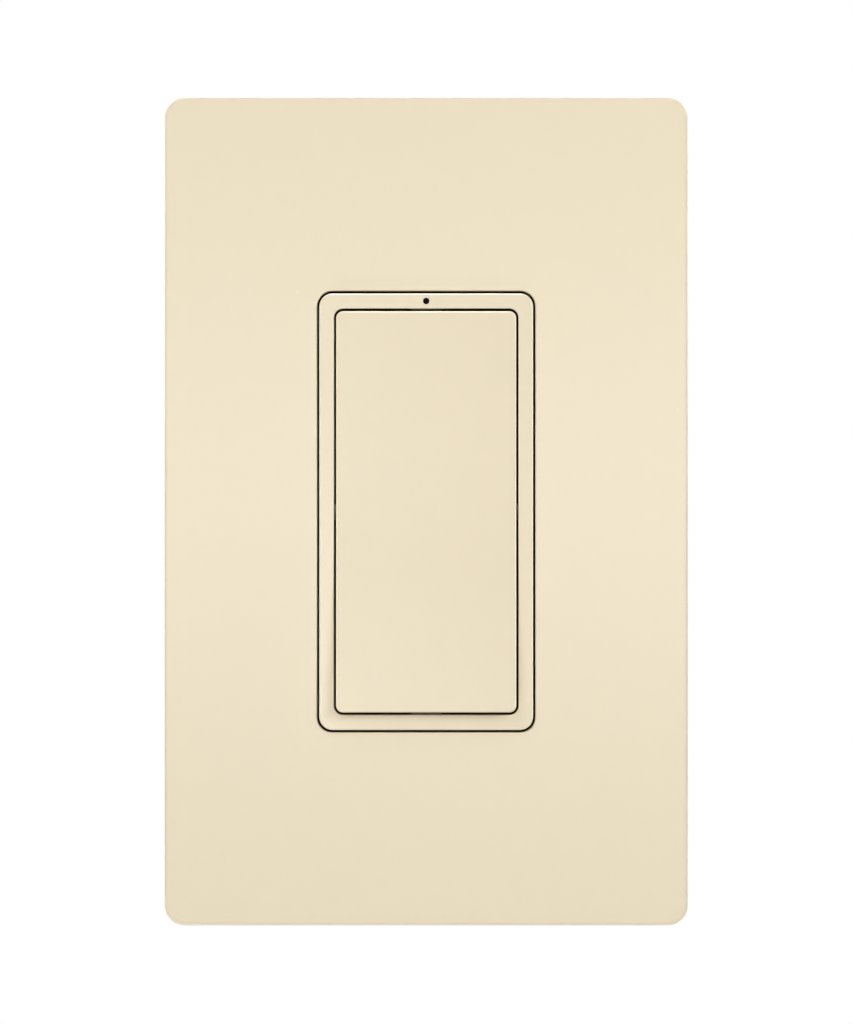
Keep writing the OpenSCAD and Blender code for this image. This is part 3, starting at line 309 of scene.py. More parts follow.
def skin(name, rings, closed=False):
    """A solid over rings of equal length: a closed band, or a stack with both ends filled."""
    bm = bmesh.new()
    layers = [[bm.verts.new(p) for p in r] for r in rings]
    pairs = list(zip(layers, layers[1:]))
    if closed:
        pairs.append((layers[-1], layers[0]))
    count = len(rings[0])
    for a, b in pairs:
        for j in range(count):
            k = (j + 1) % count
            bm.faces.new((a[j], a[k], b[k], b[j]))
    if not closed:
        for layer in (layers[0], layers[-1]):
            for j in range(count // 2 - 1):
                bm.faces.new((layer[j], layer[j + 1], layer[count - 2 - j], layer[count - 1 - j]))
    return from_bmesh(name, bm)


def rounded(width, height, radius, edge, face, outside=True):
    """Rings that turn from a wall over a rounded edge onto a face, for an outer or an inner outline."""
    rings = []
    for step in range(EDGE_STEPS + 1):
        a = math.radians(90 * step / EDGE_STEPS)
        inset = edge * (1 - math.cos(a)) * (1 if outside else -1)
        depth = shifted(face, edge * (1 - math.sin(a)))
        rings.append(ring(*grown(width, height, radius, -inset), depth))
    return rings


def grown(width, height, radius, by):
    """A rounded rectangle with its sides moved outwards, or inwards by a negative amount."""
    return width + 2 * by, height + 2 * by, radius + by


def shifted(depth, back):
    """A depth, or a depth that changes with z, set further back."""
    if callable(depth):
        return lambda z: depth(z) + back
    return depth + back


def prism(name, profile, axis, start, end):
    """A flat outline drawn out along an axis; the outline holds the two other coordinates in order."""
    bm = bmesh.new()
    ends = []
    for at in (start, end):
        points = []
        for u, v in profile:
            p = [u, v]
            p.insert("xyz".index(axis), at)
            points.append(bm.verts.new(p))
        ends.append(points)
    count = len(profile)
    for j in range(count):
        k = (j + 1) % count
        bm.faces.new((ends[0][j], ends[0][k], ends[1][k], ends[1][j]))
    bm.faces.new(ends[0])
    bm.faces.new(ends[1])
    return from_bmesh(name, bm)


def box(name, low, high):
    """A block between two corners."""
    base = [(low[0], low[1]), (high[0], low[1]), (high[0], high[1]), (low[0], high[1])]
    return prism(name, base, "z", low[2], high[2])


def turned(name, profile, centre=(0, 0, 0), axis="y", segments=ROUND_SEGMENTS):
    """A solid of revolution: the profile lists radius and place along the axis, from end to end.

    A radius may also be a function of the angle round the axis.
    """
    bm = bmesh.new()
    place = {
        "x": lambda r, t, a: (t, r * math.cos(a), r * math.sin(a)),
        "y": lambda r, t, a: (r * math.cos(a), t, r * math.sin(a)),
        "z": lambda r, t, a: (r * math.cos(a), r * math.sin(a), t),
    }[axis]
    middle = Vector(centre)
    layers = []
    for radius, t in profile:
        reach = radius if callable(radius) else lambda a: radius
        angles = [2 * math.pi * j / segments for j in range(1 if radius == 0 else segments)]
        layers.append([bm.verts.new(middle + Vector(place(reach(a), t, a))) for a in angles])
    for a, b in zip(layers, layers[1:]):
        for j in range(segments):
            k = (j + 1) % segments
            corners = [a[j % len(a)], a[k % len(a)], b[k % len(b)], b[j % len(b)]]
            corners = list(dict.fromkeys(corners))
            if len(corners) > 2:
                bm.faces.new(corners)
    for layer in (layers[0], layers[-1]):
        if len(layer) > 1:
            bm.faces.new(layer)
    return from_bmesh(name, bm)


def tube(name, path, radius, sides=12):
    """A round wire along a path, with flat ends."""
    points = [Vector(p) for p in path]
    bm = bmesh.new()
    layers = []
    # The first sideways direction may be any that the wire doesn't run along
    across = Vector((0.3, 0.5, 0.8))
    turns = [2 * math.pi * side / sides for side in range(sides)]
    for i, point in enumerate(points):
        along = (points[min(i + 1, len(points) - 1)] - points[max(i - 1, 0)]).normalized()
        across = (across - along * across.dot(along)).normalized()
        up = along.cross(across)
        spokes = [across * math.cos(a) + up * math.sin(a) for a in turns]
        layers.append([bm.verts.new(point + radius * spoke) for spoke in spokes])
    for first, second in zip(layers, layers[1:]):
        for j in range(sides):
            k = (j + 1) % sides
            bm.faces.new((first[j], first[k], second[k], second[j]))
    bm.faces.new(layers[0])
    bm.faces.new(layers[-1])
    return smooth(from_bmesh(name, bm), angle=60)


def joined(pieces):
    """Several objects as one; the first one keeps its name."""
    bm = bmesh.new()
    for piece in pieces:
        bm.from_mesh(piece.data)
    bm.to_mesh(pieces[0].data)
    bm.free()
    for piece in pieces[1:]:
        bpy.data.objects.remove(piece)
    return pieces[0]


def combine(piece, operation, tools):
    """Adds tools to a piece or cuts them from it, and removes the tools."""
    tool = joined(tools)
    modifier = piece.modifiers.new("combine", "BOOLEAN")
    modifier.operation = operation
    modifier.solver = "EXACT"
    modifier.object = tool
    evaluated = piece.evaluated_get(bpy.context.evaluated_depsgraph_get())
    mesh = bpy.data.meshes.new_from_object(evaluated)
    piece.modifiers.clear()
    piece.data = mesh
    bpy.data.objects.remove(tool)
    return piece


def refined(node, width):
    """A copy of a CAD node with its flat faces merged and its edges rounded, in the node's place."""
    bm = bmesh.new()
    bm.from_mesh(frame["nodes"][node].data)
    bmesh.ops.remove_doubles(bm, verts=bm.verts, dist=CAD_MERGE_DISTANCE)
    bmesh.ops.dissolve_limit(bm, angle_limit=FLAT_ANGLE, verts=bm.verts, edges=bm.edges)
    sharp = [e for e in bm.edges if len(e.link_faces) == 2 and e.calc_face_angle(0) > SHARP_ANGLE]
    bmesh.ops.bevel(bm, geom=sharp, offset=width, segments=ROUNDING_STEPS, profile=0.5,
                    affect="EDGES", clamp_overlap=True)
    return stand_for(smooth(from_bmesh(node + "_finish", bm), angle=50), node)


# Materials

# Noise values between which patches change, their sizes, and the boards' tracks in shares of their grid
NOISE_LOW = 0.3
NOISE_HIGH = 0.7
PLASTIC_PATCH = 3 * MM
PLASTIC_POLISH = 1.5 * MM
METAL_PATCH = 1.2 * MM
METAL_POLISH = 0.8 * MM
TRACK_GRID = 4 * MM
TRACK_WIDTH = 0.04
TRACK_BLUR = 0.2
TRACK_GREEN = (0.05, 0.24, 0.09)

# Depths behind the bezel's face at which the painted shade in the gaps sets in and is full, and its tint
GAP_SHADE_START = 1.1 * MM
GAP_SHADE_FULL = 1.5 * MM
GAP_SHADE_TINT = (0.14, 0.1, 0.06)


class Shader:
    """A material with a Principled shader, and short ways to add textures to it."""

    def __init__(self, name, colour, roughness, metallic=0.0):
        self.material = bpy.data.materials.new(name)
        self.material.use_nodes = True
        self.tree = self.material.node_tree
        self.bsdf = self.tree.nodes["Principled BSDF"]
        self.bsdf.inputs["Base Color"].default_value = (*colour, 1)
        self.bsdf.inputs["Roughness"].default_value = roughness
        self.bsdf.inputs["Metallic"].default_value = metallic
        self.colour = colour
        self.roughness = roughness
        self.spot = self.tree.nodes.new("ShaderNodeTexCoord").outputs["Object"]

    def node(self, kind, **values):
        """A new node; its sockets are set by their names, with spaces written as underscores."""
        made = self.tree.nodes.new(kind)
        for name, value in values.items():
            socket = made.inputs[name.replace("_", " ")]
            if isinstance(value, bpy.types.NodeSocket):
                self.tree.links.new(value, socket)
            else:
                socket.default_value = value
        return made

    def specular(self, level):
        """A weaker or stronger reflection than plain plastic has, which is 0.5."""
        self.bsdf.inputs["Specular IOR Level"].default_value = level
        return self

    def noise(self, size, detail=2.0, stretch=(1, 1, 1)):
        """Noise whose grains are about the given size in metres."""
        mapping = self.node("ShaderNodeMapping", Vector=self.spot, Scale=[s / size for s in stretch])
        place = mapping.outputs["Vector"]
        return self.node("ShaderNodeTexNoise", Vector=place, Scale=1.0, Detail=detail).outputs["Fac"]

    def spread(self, factor, low, high):
        """A factor between 0 and 1 spread over a range of numbers."""
        made = self.node("ShaderNodeMapRange", Value=factor, To_Min=low, To_Max=high)
        return made.outputs["Result"]

    def mottle(self, size, amount, detail=3.0, stretch=(1, 1, 1)):
        """Slightly lighter and darker patches of the base colour."""
        ramp = self.tree.nodes.new("ShaderNodeValToRGB")
        self.tree.links.new(self.noise(size, detail, stretch), ramp.inputs["Fac"])
        for element, change in zip(ramp.color_ramp.elements, (1 - amount, 1 + amount)):
            element.color = (*[min(1, c * change) for c in self.colour], 1)
        ramp.color_ramp.elements[0].position = NOISE_LOW
        ramp.color_ramp.elements[1].position = NOISE_HIGH
        self.tree.links.new(ramp.outputs["Color"], self.bsdf.inputs["Base Color"])
        return self

    def polish(self, size, amount, stretch=(1, 1, 1)):
        """Patches that are a little smoother or rougher."""
        patches = self.noise(size, stretch=stretch)
        spread = self.spread(patches, self.roughness - amount, self.roughness + amount)
        self.tree.links.new(spread, self.bsdf.inputs["Roughness"])
        return self

    def grain(self, size, depth, detail=2.0, stretch=(1, 1, 1)):
        """A fine relief of the given grain size and depth in metres."""
        bump = self.node("ShaderNodeBump", Height=self.noise(size, detail, stretch), Distance=depth)
        self.tree.links.new(bump.outputs["Normal"], self.bsdf.inputs["Normal"])
        return self

    def painted_shade_by_depth(self, start, end, tint):
        """A painted shade: a tint of the base colour that sets in from front to rear, between two depths.
        """
        depth = self.node("ShaderNodeSeparateXYZ", Vector=self.spot).outputs["Y"]
        share = self.node("ShaderNodeMapRange", Value=depth, From_Min=start, From_Max=end)
        plain = self.bsdf.inputs["Base Color"].links[0].from_socket
        mix = self.node("ShaderNodeMixRGB", Fac=share.outputs["Result"], Color1=plain, Color2=(*tint, 1))
        mix.blend_type = "MULTIPLY"
        self.tree.links.new(mix.outputs["Color"], self.bsdf.inputs["Base Color"])
        return self

    def tracks(self, size, colour):
        """A net of straight conductor tracks in another colour, in the plane of X and Z."""
        turned_up = self.node("ShaderNodeMapping", Vector=self.spot, Rotation=(math.pi / 2, 0, 0))
        plain = (*self.colour, 1)
        net = self.node("ShaderNodeTexBrick", Vector=turned_up.outputs["Vector"], Scale=1 / size,
                        Mortar_Size=TRACK_WIDTH, Mortar_Smooth=TRACK_BLUR,
                        Color1=plain, Color2=plain, Mortar=(*colour, 1))
        self.tree.links.new(net.outputs["Color"], self.bsdf.inputs["Base Color"])
        return self


def plastic(name, colour, roughness, grain=0.25 * MM, depth=0.004 * MM, mottle=0.012, specular=0.5):
    """Moulded plastic with a spark-eroded texture."""
    shader = Shader(name, colour, roughness).specular(specular)
    shader.mottle(PLASTIC_PATCH, mottle)
    shader.polish(PLASTIC_POLISH, amount=0.04)
    return shader.grain(grain, depth).material


def front_plastic(name, colour, roughness, grain, depth):
    """Plastic of the bezel and the paddle, with painted brown shade down in the gaps, where little light
    reaches.
    """
    shader = Shader(name, colour, roughness)
    shader.mottle(PLASTIC_PATCH, amount=0.005)
    shader.polish(PLASTIC_POLISH, amount=0.01)
    shader.grain(grain, depth)
    # painted shade: the plastic turns darker and browner deep in the gaps
    return shader.painted_shade_by_depth(BEZEL_FACE + GAP_SHADE_START, BEZEL_FACE + GAP_SHADE_FULL, GAP_SHADE_TINT).material


def metal(name, colour, roughness, stretch=(1, 1, 1), grain=0.15 * MM, depth=0.003 * MM, mottle=0.08):
    """Metal with fine tool marks along its stretched direction."""
    shader = Shader(name, colour, roughness, metallic=1.0)
    shader.mottle(METAL_PATCH, mottle, stretch=stretch)
    shader.polish(METAL_POLISH, amount=0.08, stretch=stretch)
    return shader.grain(grain, depth, stretch=stretch).material


def circuit_board(name, colour):
    """Solder mask over a net of copper tracks."""
    shader = Shader(name, colour, roughness=0.3)
    shader.tracks(TRACK_GRID, TRACK_GREEN)
    shader.polish(PLASTIC_POLISH, amount=0.05)
    return shader.grain(size=0.3 * MM, depth=0.01 * MM).material


# Each slot's colour and roughness, and the grain, mottle and reflection where they aren't the usual ones
MATERIALS = {
    "almond_plate": plastic("almond_plate", (0.83, 0.727, 0.531), 0.25, 0.5 * MM, 0.001 * MM, 0.003),
    "almond_bezel": front_plastic("almond_bezel", (0.84, 0.736, 0.536), 0.34, 0.3 * MM, 0.003 * MM),
    "almond_paddle": front_plastic("almond_paddle", (0.822, 0.718, 0.519), 0.35, 0.3 * MM, 0.004 * MM),
    "frame_plastic": plastic("frame_plastic", (0.022, 0.022, 0.024), 0.6, specular=0.2),
    "zinc_steel": metal("zinc_steel", (0.66, 0.66, 0.68), 0.32),
    "strap_aluminium": metal("strap_aluminium", (0.74, 0.74, 0.75), 0.36, stretch=(1, 1, 0.05)),
    "green_screw": metal("green_screw", (0.06, 0.30, 0.12), 0.34),
    "fibre": plastic("fibre", (0.36, 0.24, 0.13), 0.8, 0.3 * MM, 0.02 * MM, 0.15),
    "smoked_lens": plastic("smoked_lens", (0.004, 0.004, 0.007), 0.25, specular=0.06),
    "plunger_plastic": plastic("plunger_plastic", (0.78, 0.76, 0.70), 0.4),
    "spring_steel": metal("spring_steel", (0.62, 0.62, 0.65), 0.25),
    "carbon_rubber": plastic("carbon_rubber", (0.02, 0.02, 0.02), 0.7),
    "board_green": circuit_board("board_green", (0.02, 0.13, 0.05)),
    "gold_pad": metal("gold_pad", (0.80, 0.58, 0.22), 0.25),
    "led_white": plastic("led_white", (0.80, 0.82, 0.80), 0.2),
    "component_black": plastic("component_black", (0.025, 0.025, 0.028), 0.55),
    "ferrite": plastic("ferrite", (0.06, 0.06, 0.065), 0.7),
    "copper_wire": metal("copper_wire", (0.62, 0.25, 0.10), 0.25),
    "capacitor_yellow": plastic("capacitor_yellow", (0.75, 0.48, 0.05), 0.3),
    "capacitor_blue": plastic("capacitor_blue", (0.02, 0.04, 0.20), 0.3),
    "disc_blue": plastic("disc_blue", (0.03, 0.12, 0.42), 0.35),
    "brass": metal("brass", (0.72, 0.52, 0.22), 0.3),
    "housing_black": plastic("housing_black", (0.022, 0.022, 0.024), 0.55, 0.3 * MM, 0.012 * MM,
                             specular=0.3),
}
SLOT_OF = {row["node"]: row["material_slot"] for row in frame["record"]["subparts"]}
BODIES = frame["record"]["behaviour"]["bodies"]
BODY_OF = {node: body for body, nodes in BODIES.items() for node in nodes}


def paint(piece, slot):
    """Gives a piece one of the record's finishes."""
    piece.data.materials.clear()
    piece.data.materials.append(MATERIALS[slot])


def stand_for(piece, node):
    """Lets a piece take the place of a CAD node, on its body and with its finish."""
    slot = SLOT_OF[node]
    paint(piece, slot)
    even = piece.modifiers.new("even_normals", "WEIGHTED_NORMAL")
    even.keep_sharp = True
    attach(piece, BODY_OF[node])
    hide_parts(node)
    return piece


# Wall plate: rear rim, sides, rounded edge, crowned face, window, lip and hollow

def plate_face(z):
    """Depth of the crowned face at a height."""
    return PLATE_CROWN * (2 * z / PLATE_H) ** 2 - PLATE_DEPTH


def face_rings(first, last, depth, shares):
    """Rings across a face from one outline to another."""
    rings = []
    for share in shares:
        rings.append([(x, depth(z), z) for x, z in mix_rings(first, last, share)])
    return rings


def make_plate():
    """The hollow snap-on plate."""
    outer = (PLATE_W, PLATE_H, PLATE_CORNER_R)
    hollow = grown(*outer, -PLATE_WALL)
    window = (WINDOW_W, WINDOW_H, WINDOW_R)
    lip = grown(*window, LIP_T)
    ceiling = shifted(plate_face, PLATE_WALL)
    edge = rounded(*outer, PLATE_EDGE_R, plate_face)
    mouth = rounded(*grown(*window, DRAFT), WINDOW_EDGE_R, plate_face, outside=False)
    across = [step / FACE_STEPS for step in range(1, FACE_STEPS)]
    across = [PLATE_FACE_HOLD, *across, 1 - PLATE_FACE_HOLD]
    rings = [
        ring(*hollow, -RIM_R),
        ring(*grown(*hollow, RIM_R), 0),
        ring(*grown(*outer, -RIM_R), 0),
        ring(*outer, -RIM_R),
        *edge,
        *face_rings(edge[-1], mouth[-1], plate_face, across),
        *reversed(mouth),
        ring(*window, LIP_REAR),
        ring(*lip, LIP_REAR),
        ring(*lip, ceiling),
        ring(*hollow, ceiling),
    ]
    plate = skin("plate", rings, closed=True)
    combine(plate, "UNION", plate_catches())
    combine(plate, "DIFFERENCE", [pry_slot()])
    return stand_for(smooth(plate), "wall_plate")


def plate_catches():
    """Ramped catches on the upper and lower wall that snap behind the sub-plate."""
    root = PLATE_H / 2 - CATCH_ROOT
    wall = PLATE_H / 2 - PLATE_WALL
    tip = wall - CATCH_REACH
    front = STRAP_FRONT + CATCH_GAP
    catches = []
    for middle in (-CATCH_X, CATCH_X):
        for sz in (-1, 1):
            profile = [(front, sz * root), (front, sz * tip), (front + CATCH_TIP, sz * tip),
                       (STRAP_REAR, sz * wall), (STRAP_REAR, sz * root)]
            catches.append(prism("catch", profile, "x", middle - CATCH_W / 2, middle + CATCH_W / 2))
    return catches


def pry_slot():
    """A slot in the lower rim for a screwdriver."""
    inner = OVERSHOOT - PLATE_H / 2 + PLATE_WALL
    return box("pry", (-PRY_W / 2, -PRY_H, -PLATE_H), (PRY_W / 2, OVERSHOOT, inner))


# Bezel: frame round the paddle, with guide pads, snap hooks and bores

def make_bezel():
    """The frame that holds the paddle."""
    outer = (BEZEL_W, BEZEL_H, BEZEL_R)
    well = (WELL_W, WELL_H, WELL_R)
    edge = rounded(*grown(*outer, -DRAFT), BEZEL_EDGE_R, BEZEL_FACE)
    mouth = rounded(*grown(*well, DRAFT), WELL_EDGE_R, BEZEL_FACE, outside=False)
    across = (BEZEL_FACE_HOLD, 1 - BEZEL_FACE_HOLD)
    rings = [
        ring(*outer, FLOOR_FRONT),
        *edge,
        *face_rings(edge[-1], mouth[-1], lambda z: BEZEL_FACE, across),
        *reversed(mouth),
        ring(*well, FLOOR_FRONT),
    ]
    bezel = skin("bezel_frame", rings, closed=True)
    combine(bezel, "UNION", snap_hooks() + guide_pads())
    combine(bezel, "DIFFERENCE", pivot_bores() + [light_bore()])
    return stand_for(smooth(bezel), "bezel")


def guide_pads():
    """Pads at top and bottom that keep the paddle in the middle."""
    pads = []
    for sz in (-1, 1):
        low, high = sorted((sz * (WELL_H / 2 - GUIDE_T), sz * (WELL_H / 2 + BAND_END / 2)))
        pads.append(box("pad", (-GUIDE_W / 2, FLOOR_FRONT - GUIDE_RISE, low),
                        (GUIDE_W / 2, FLOOR_FRONT - FIT, high)))
    return pads


def pivot_bores():
    """Blind bores in the well's sides for the paddle's pins."""
    inner = WELL_W / 2 - OVERSHOOT
    outer = PADDLE_W / 2 + PIVOT_REACH + SLIP
    radius = PIVOT_R + FIT
    return [turned("pivot_bore", [(radius, sx * inner), (radius, sx * outer)], (0, PIVOT_Y, 0), "x")
            for sx in (-1, 1)]


def light_bore():
    """The bore in the upper band for the light pipe."""
    radius = LIGHT_R + FIT
    profile = [(radius, BEZEL_FACE - OVERSHOOT), (radius, FLOOR_FRONT + OVERSHOOT)]
    return turned("light_bore", profile, (0, 0, LIGHT_Z), segments=THIN_SEGMENTS)


def snap_hooks():
    """Hooks that pass through chassis and strap and catch behind the strap."""
    root = FLOOR_FRONT - HOOK_T
    catch = STRAP_REAR + FIT
    tip = STRAP_REAR + HOOK_RISE
    outer = HOOK_X + HOOK_T
    profile = [(HOOK_X, root), (outer, root), (outer, catch), (outer + HOOK_LIP, catch), (outer, tip),
               (HOOK_X, tip)]
    hooks = []
    for sx in (-1, 1):
        for middle in (-HOOK_Z, HOOK_Z):
            hooks.append(prism("hook", [(sx * x, y) for x, y in profile], "z",
                               middle - HOOK_L / 2, middle + HOOK_L / 2))
    return hooks


# Paddle: face that leans out below its middle, skirt, ribs, pivot pins and legs

def lean(z):
    """How far down the face's slope a height is: nothing above the middle, then more, with a soft start."""
    if z > PADDLE_BLEND:
        return 0.0
    if z < -PADDLE_BLEND:
        return -z
    return (PADDLE_BLEND - z) ** 2 / (4 * PADDLE_BLEND)


def paddle_face(z):
    """Depth of the face at a height."""
    return PADDLE_FACE - PADDLE_RISE * lean(z) / (PADDLE_H / 2)


def make_paddle():
    """The rocking cover with all that is moulded on its rear."""
    outer = (PADDLE_W, PADDLE_H, PADDLE_R)
    edge = rounded(*grown(*outer, -DRAFT), PADDLE_EDGE_R, paddle_face)
    face = ring(*grown(*outer, -PADDLE_EDGE_R - PADDLE_FACE_INSET), paddle_face)
    paddle = skin("paddle_cover", [ring(*outer, SKIRT_REAR), *edge, face])
    room = (PADDLE_W - 2 * SKIRT_T, PADDLE_H - 2 * SKIRT_T, PADDLE_R / 2)
    ceiling = shifted(paddle_face, PADDLE_SKIN)
    combine(paddle, "DIFFERENCE",
            [skin("room", [ring(*room, SKIRT_REAR + OVERSHOOT), ring(*room, ceiling)])])
    combine(paddle, "UNION", paddle_ribs() + [paddle_leg(sz) for sz in (-1, 1)])
    combine(paddle, "UNION", pivot_ears())
    combine(paddle, "UNION", pivot_pins())
    return stand_for(smooth(paddle), "paddle")


def paddle_ribs():
    """Two ribs along the cover, from its face to the skirt's rear edge."""
    inlet = shifted(paddle_face, PADDLE_SKIN / 2)
    end = PADDLE_H / 2 - SKIRT_T / 2
    curve = [PADDLE_BLEND * (1 - 2 * step / BLEND_STEPS) for step in range(1, BLEND_STEPS)]
    heights = [end, PADDLE_BLEND, *curve, -PADDLE_BLEND, -end]
    profile = [(inlet(z), z) for z in heights] + [(SKIRT_REAR, -end), (SKIRT_REAR, end)]
    return [prism("rib", profile, "x", x, x + RIB_T) for x in (RIB_X, -RIB_X - RIB_T)]


def paddle_leg(sz):
    """A round-ended rib that pushes a plunger."""
    half = LEG_T / 2
    tip = PIVOT_Y - TOUCH - half
    z = sz * PLUNGER_Z
    root = paddle_face(z) + PADDLE_SKIN / 2
    angles = [math.pi * (step / LEG_STEPS - 0.5) for step in range(LEG_STEPS + 1)]
    arc = [(tip + half * math.cos(a), z + half * math.sin(a)) for a in angles]
    return prism("leg", [(root, z - half), *arc, (root, z + half)], "x", -LEG_W / 2, LEG_W / 2)


def pivot_ears():
    """Ears on the skirt's sides that carry the pins."""
    front = PIVOT_Y - PIVOT_R
    rear = FLOOR_FRONT - EAR_HALF * math.sin(TILT) - SKIRT_GAP
    ears = []
    for sx in (-1, 1):
        low, high = sorted((sx * PADDLE_W / 2, sx * (PADDLE_W / 2 - SKIRT_T)))
        ears.append(box("ear", (low, front, -EAR_HALF), (high, rear, EAR_HALF)))
    return ears


def pivot_pins():
    """Pins with a chamfered end that turn in the bezel's bores."""
    inner = PADDLE_W / 2 - SKIRT_T / 2
    outer = PADDLE_W / 2 + PIVOT_REACH
    profile = [(PIVOT_R, inner), (PIVOT_R, outer - SLIP), (PIVOT_R - SLIP, outer)]
    return [turned("pin", [(r, sx * x) for r, x in profile], (0, PIVOT_Y, 0), "x") for sx in (-1, 1)]


# Light pipe: a dark lens in the bezel's upper band, led back to the board

def make_light_pipe():
    low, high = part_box("light_pipe")
    front = BEZEL_FACE + LIGHT_INSET
    bar = STRAP_FRONT - LIGHT_BAR
    bar_middle = bar + LIGHT_BAR / 2
    angles = [math.pi / 2 * step / LENS_STEPS for step in range(LENS_STEPS + 1)]
    crown = [(LIGHT_R * math.sin(a), front + LIGHT_CROWN * (1 - math.cos(a))) for a in angles]
    pipe = turned("light_lens", [*crown, (LIGHT_R, bar_middle)], (0, 0, LIGHT_Z), segments=THIN_SEGMENTS)
    crossbar = box("crossbar", (low.x, bar, LED_Z - LIGHT_R),
                   (high.x, STRAP_FRONT - FIT, LIGHT_Z + LIGHT_R))
    combine(pipe, "UNION", [crossbar])
    tail = [(LIGHT_R, bar_middle), (LIGHT_R, high.y)]
    combine(pipe, "UNION", [turned("tail", tail, (0, 0, LED_Z), segments=THIN_SEGMENTS)])
    return stand_for(smooth(pipe), "light_pipe")


# Springs: coils between the cup's bottom and the plunger's head

def make_spring(node, z):
    start, end = SPRING_LOW.y + WIRE_R, SPRING_HIGH.y - WIRE_R
    count = SPRING_TURNS * COIL_STEPS
    path = []
    for step in range(count + 1):
        a = 2 * math.pi * step / COIL_STEPS
        y = start + (end - start) * step / count
        path.append((SPRING_R * math.cos(a), y, z + SPRING_R * math.sin(a)))
    spring = tube(node + "_coil", path, WIRE_R)
    paint(spring, SLOT_OF[node])
    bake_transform(spring)
    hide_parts(node)


# Choke: one wire wound round the ring-shaped core, close to its faces

def make_winding():
    low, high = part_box("choke_core")
    middle = (low + high) / 2
    half_ring, half_height = CORE_RING / 2, (high.y - low.y) / 2
    ring_r = (high.x - low.x) / 2 - half_ring
    bend = COPPER_R + FIT
    corners = ((1, 1), (-1, 1), (-1, -1), (1, -1))
    path = []
    count = WINDING_TURNS * len(corners) * BEND_STEPS
    for i in range(count + 1):
        corner = i // BEND_STEPS % len(corners)
        a = math.pi / 2 * (corner + i % BEND_STEPS / (BEND_STEPS - 1))
        out = ring_r + corners[corner][0] * half_ring + bend * math.cos(a)
        y = middle.y + corners[corner][1] * half_height + bend * math.sin(a)
        turn = WINDING_ANGLE * (WINDING_MARGIN + (1 - 2 * WINDING_MARGIN) * i / count)
        path.append((out * math.cos(turn), y, middle.z + out * math.sin(turn)))
    stand_for(tube("choke_wire", path, COPPER_R, sides=8), "choke_winding")


# Screws: each is made along Y with its seat at the origin and its head in front, then set in place

def dome(radius, height, rim):
    """The profile of a rounded head, from the middle of its front to its seat."""
    arc = [math.pi / 2 * step / DOME_STEPS for step in range(DOME_STEPS + 1)]
    return [(radius * math.sin(a), -rim - (height - rim) * math.cos(a)) for a in arc] + [(radius, 0)]


def thread(radius, depth, start, end, taper):
    """The profile of a threaded rod, which winds in and out once per pitch and narrows at its tip."""

    def radius_at(y):
        """The radius at a place along the rod, as a function of the angle round it."""
        crest = radius - radius / 2 * max(0, 1 - (end - y) / taper)

        def at_angle(a):
            turn = (y / THREAD_PITCH - a / (2 * math.pi)) % 1
            return crest - depth * abs(2 * turn - 1)

        return at_angle

    steps = max(2, round((end - start) / THREAD_PITCH * THREAD_STEPS))
    places = [start + (end - start) * step / steps for step in range(steps + 1)]
    return [(radius_at(y), y) for y in places]


def slot_cut(radius, front):
    """A straight slot right across a head."""
    low = (-2 * radius, front - OVERSHOOT, -DRIVE_W / 2)
    high = (2 * radius, front + DRIVE_T, DRIVE_W / 2)
    return [box("slot_cut", low, high)]


def cross_cut(radius, front):
    """The two crossing wedges of a cross recess."""
    mouth, foot = radius * CROSS_MOUTH, radius * CROSS_FOOT
    top, bottom = front - OVERSHOOT, front + radius * CROSS_DEPTH
    wedge = [(-mouth, top), (mouth, top), (foot, bottom), (-foot, bottom)]
    across = prism("cross_cut", wedge, "z", -CROSS_W / 2, CROSS_W / 2)
    upright = prism("cross_cut", wedge, "z", -CROSS_W / 2, CROSS_W / 2)
    upright.data.transform(Matrix.Rotation(math.pi / 2, 4, "Y"))
    return [combine(across, "UNION", [upright])]


def make_screw(head, cuts, shank):
    """A head with its drive cut in, on a shank."""
    screw = turned("screw", head)
    combine(screw, "DIFFERENCE", cuts)
    return combine(screw, "UNION", [turned("shank", shank, segments=THIN_SEGMENTS)])


def set_screws(name, node, screw, turn, spots):
    """Copies of one screw, turned and set at their seats, as one piece in the node's place."""
    copies = []
    for spot in spots:
        mesh = screw.data.copy()
        mesh.transform(Matrix.Translation(spot) @ turn)
        copies.append(new_object(name, mesh))
    bpy.data.objects.remove(screw)
    return stand_for(smooth(joined(copies), angle=40), node)


def make_box_screws():
    head = dome(BOX_HEAD_R, BOX_HEAD_T, BOX_RIM)
    neck = [(THREAD_R - THREAD_DEPTH, -BOX_RIM), (THREAD_R - THREAD_DEPTH, BOX_NECK)]
    shank = neck + thread(THREAD_R, THREAD_DEPTH, BOX_NECK, BOX_SCREW_L, LONG_TAPER)
    screw = make_screw(head, slot_cut(BOX_HEAD_R, -BOX_HEAD_T), shank)
    spots = [(0, STRAP_FRONT, sz * BOX_Z) for sz in (1, -1)]
    set_screws("box_screw_pair", "box_screws", screw, Matrix(), spots)


def make_plate_screws():
    front = -PLATE_HEAD_T
    head = [(0, front), (PLATE_HEAD_R - FIT, front), (PLATE_HEAD_R, front + FIT), (THREAD_R, 0)]
    neck = [(THREAD_R - THREAD_DEPTH, front / 2)]
    shank = neck + thread(THREAD_R, THREAD_DEPTH, 0, PLATE_SCREW_L, LONG_TAPER)
    screw = make_screw(head, slot_cut(PLATE_HEAD_R, front), shank)
    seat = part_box("plate_screws")[0].y + PLATE_HEAD_T
    spots = [(0, seat, sz * PLATE_SCREW_Z) for sz in (1, -1)]
    set_screws("plate_screw_pair", "plate_screws", screw, Matrix(), spots)


